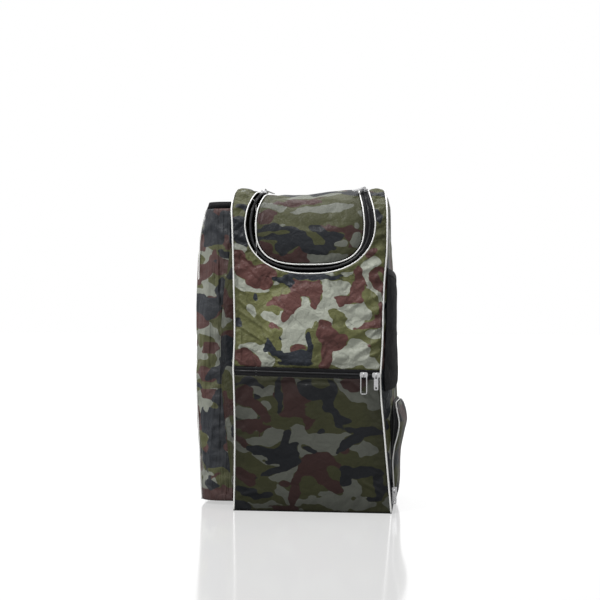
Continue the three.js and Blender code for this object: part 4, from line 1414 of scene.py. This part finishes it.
def surroundings(stage):
    """White surroundings to the camera and in reflections, and a dimmer even light on the bag."""
    world = bpy.data.worlds.new("studio")
    world.use_nodes = True
    tree = world.node_tree
    tree.nodes.clear()
    seen = place(tree, "ShaderNodeBackground", Color=(1, 1, 1, 1), Strength=1.0)
    lit = place(tree, "ShaderNodeBackground", Color=(1, 1, 1, 1), Strength=stage.daylight)
    rays = tree.nodes.new("ShaderNodeLightPath")
    direct = sums(tree, "MAXIMUM", rays.outputs["Is Camera Ray"], rays.outputs["Is Glossy Ray"])
    mixed = place(tree, "ShaderNodeMixShader", _0=direct, _1=lit.outputs[0], _2=seen.outputs[0])
    place(tree, "ShaderNodeOutputWorld", Surface=mixed.outputs[0])
    return world


class KITBAG_OT_stage(bpy.types.Operator):
    """Sets up the floor, the soft lights and the camera"""
    bl_idname = "kitbag.stage"
    bl_label = "Stage"

    def execute(self, context):
        scene = context.scene
        stage = scene.kit_bag_stage
        scene.view_settings.view_transform = "Standard"
        studio_floor(stage)
        scene.world = surroundings(stage)
        for row in LIGHTS:
            soft_light(**row, power=getattr(stage, row["name"]))
        camera = bpy.data.cameras.new("camera")
        camera.lens = CAMERA_LENS
        camera.sensor_width = CAMERA_SENSOR
        holder = bpy.data.objects.new("camera", camera)
        holder.location = CAMERA_PLACE
        holder.rotation_euler = (math.pi / 2, 0, math.radians(CAMERA_TURN))
        scene.collection.objects.link(holder)
        scene.camera = holder
        return {"FINISHED"}


SETTINGS = {"kit_bag_cloth": KitBagCloth, "kit_bag_trim": KitBagTrim, "kit_bag_stage": KitBagStage}


class KITBAG_PT_panel(bpy.types.Panel):
    bl_idname = "KITBAG_PT_panel"
    bl_label = "Kit bag"
    bl_space_type = "VIEW_3D"
    bl_region_type = "UI"
    bl_category = "Kit Bag"

    def draw(self, context):
        for setting, kind in SETTINGS.items():
            for name in kind.__annotations__:
                self.layout.prop(getattr(context.scene, setting), name)
        for operator in OPERATORS:
            self.layout.operator(operator.bl_idname)


OPERATORS = (
    KITBAG_OT_stage, KITBAG_OT_panels, KITBAG_OT_piping, KITBAG_OT_zips, KITBAG_OT_stitches,
    KITBAG_OT_trim, KITBAG_OT_metal, KITBAG_OT_straps)
CLASSES = (*SETTINGS.values(), *OPERATORS, KITBAG_PT_panel)


def register():
    for kind in CLASSES:
        bpy.utils.register_class(kind)
    for setting, kind in SETTINGS.items():
        setattr(bpy.types.Scene, setting, PointerProperty(type=kind))


def unregister():
    for setting in SETTINGS:
        delattr(bpy.types.Scene, setting)
    for kind in reversed(CLASSES):
        bpy.utils.unregister_class(kind)


def main():
    register()
    bpy.ops.kitbag.stage()
    bpy.ops.kitbag.panels()
    bpy.ops.kitbag.piping()
    bpy.ops.kitbag.zips()
    bpy.ops.kitbag.stitches()
    bpy.ops.kitbag.trim()
    bpy.ops.kitbag.metal()
    bpy.ops.kitbag.straps()


if __name__ == "__main__":
    main()
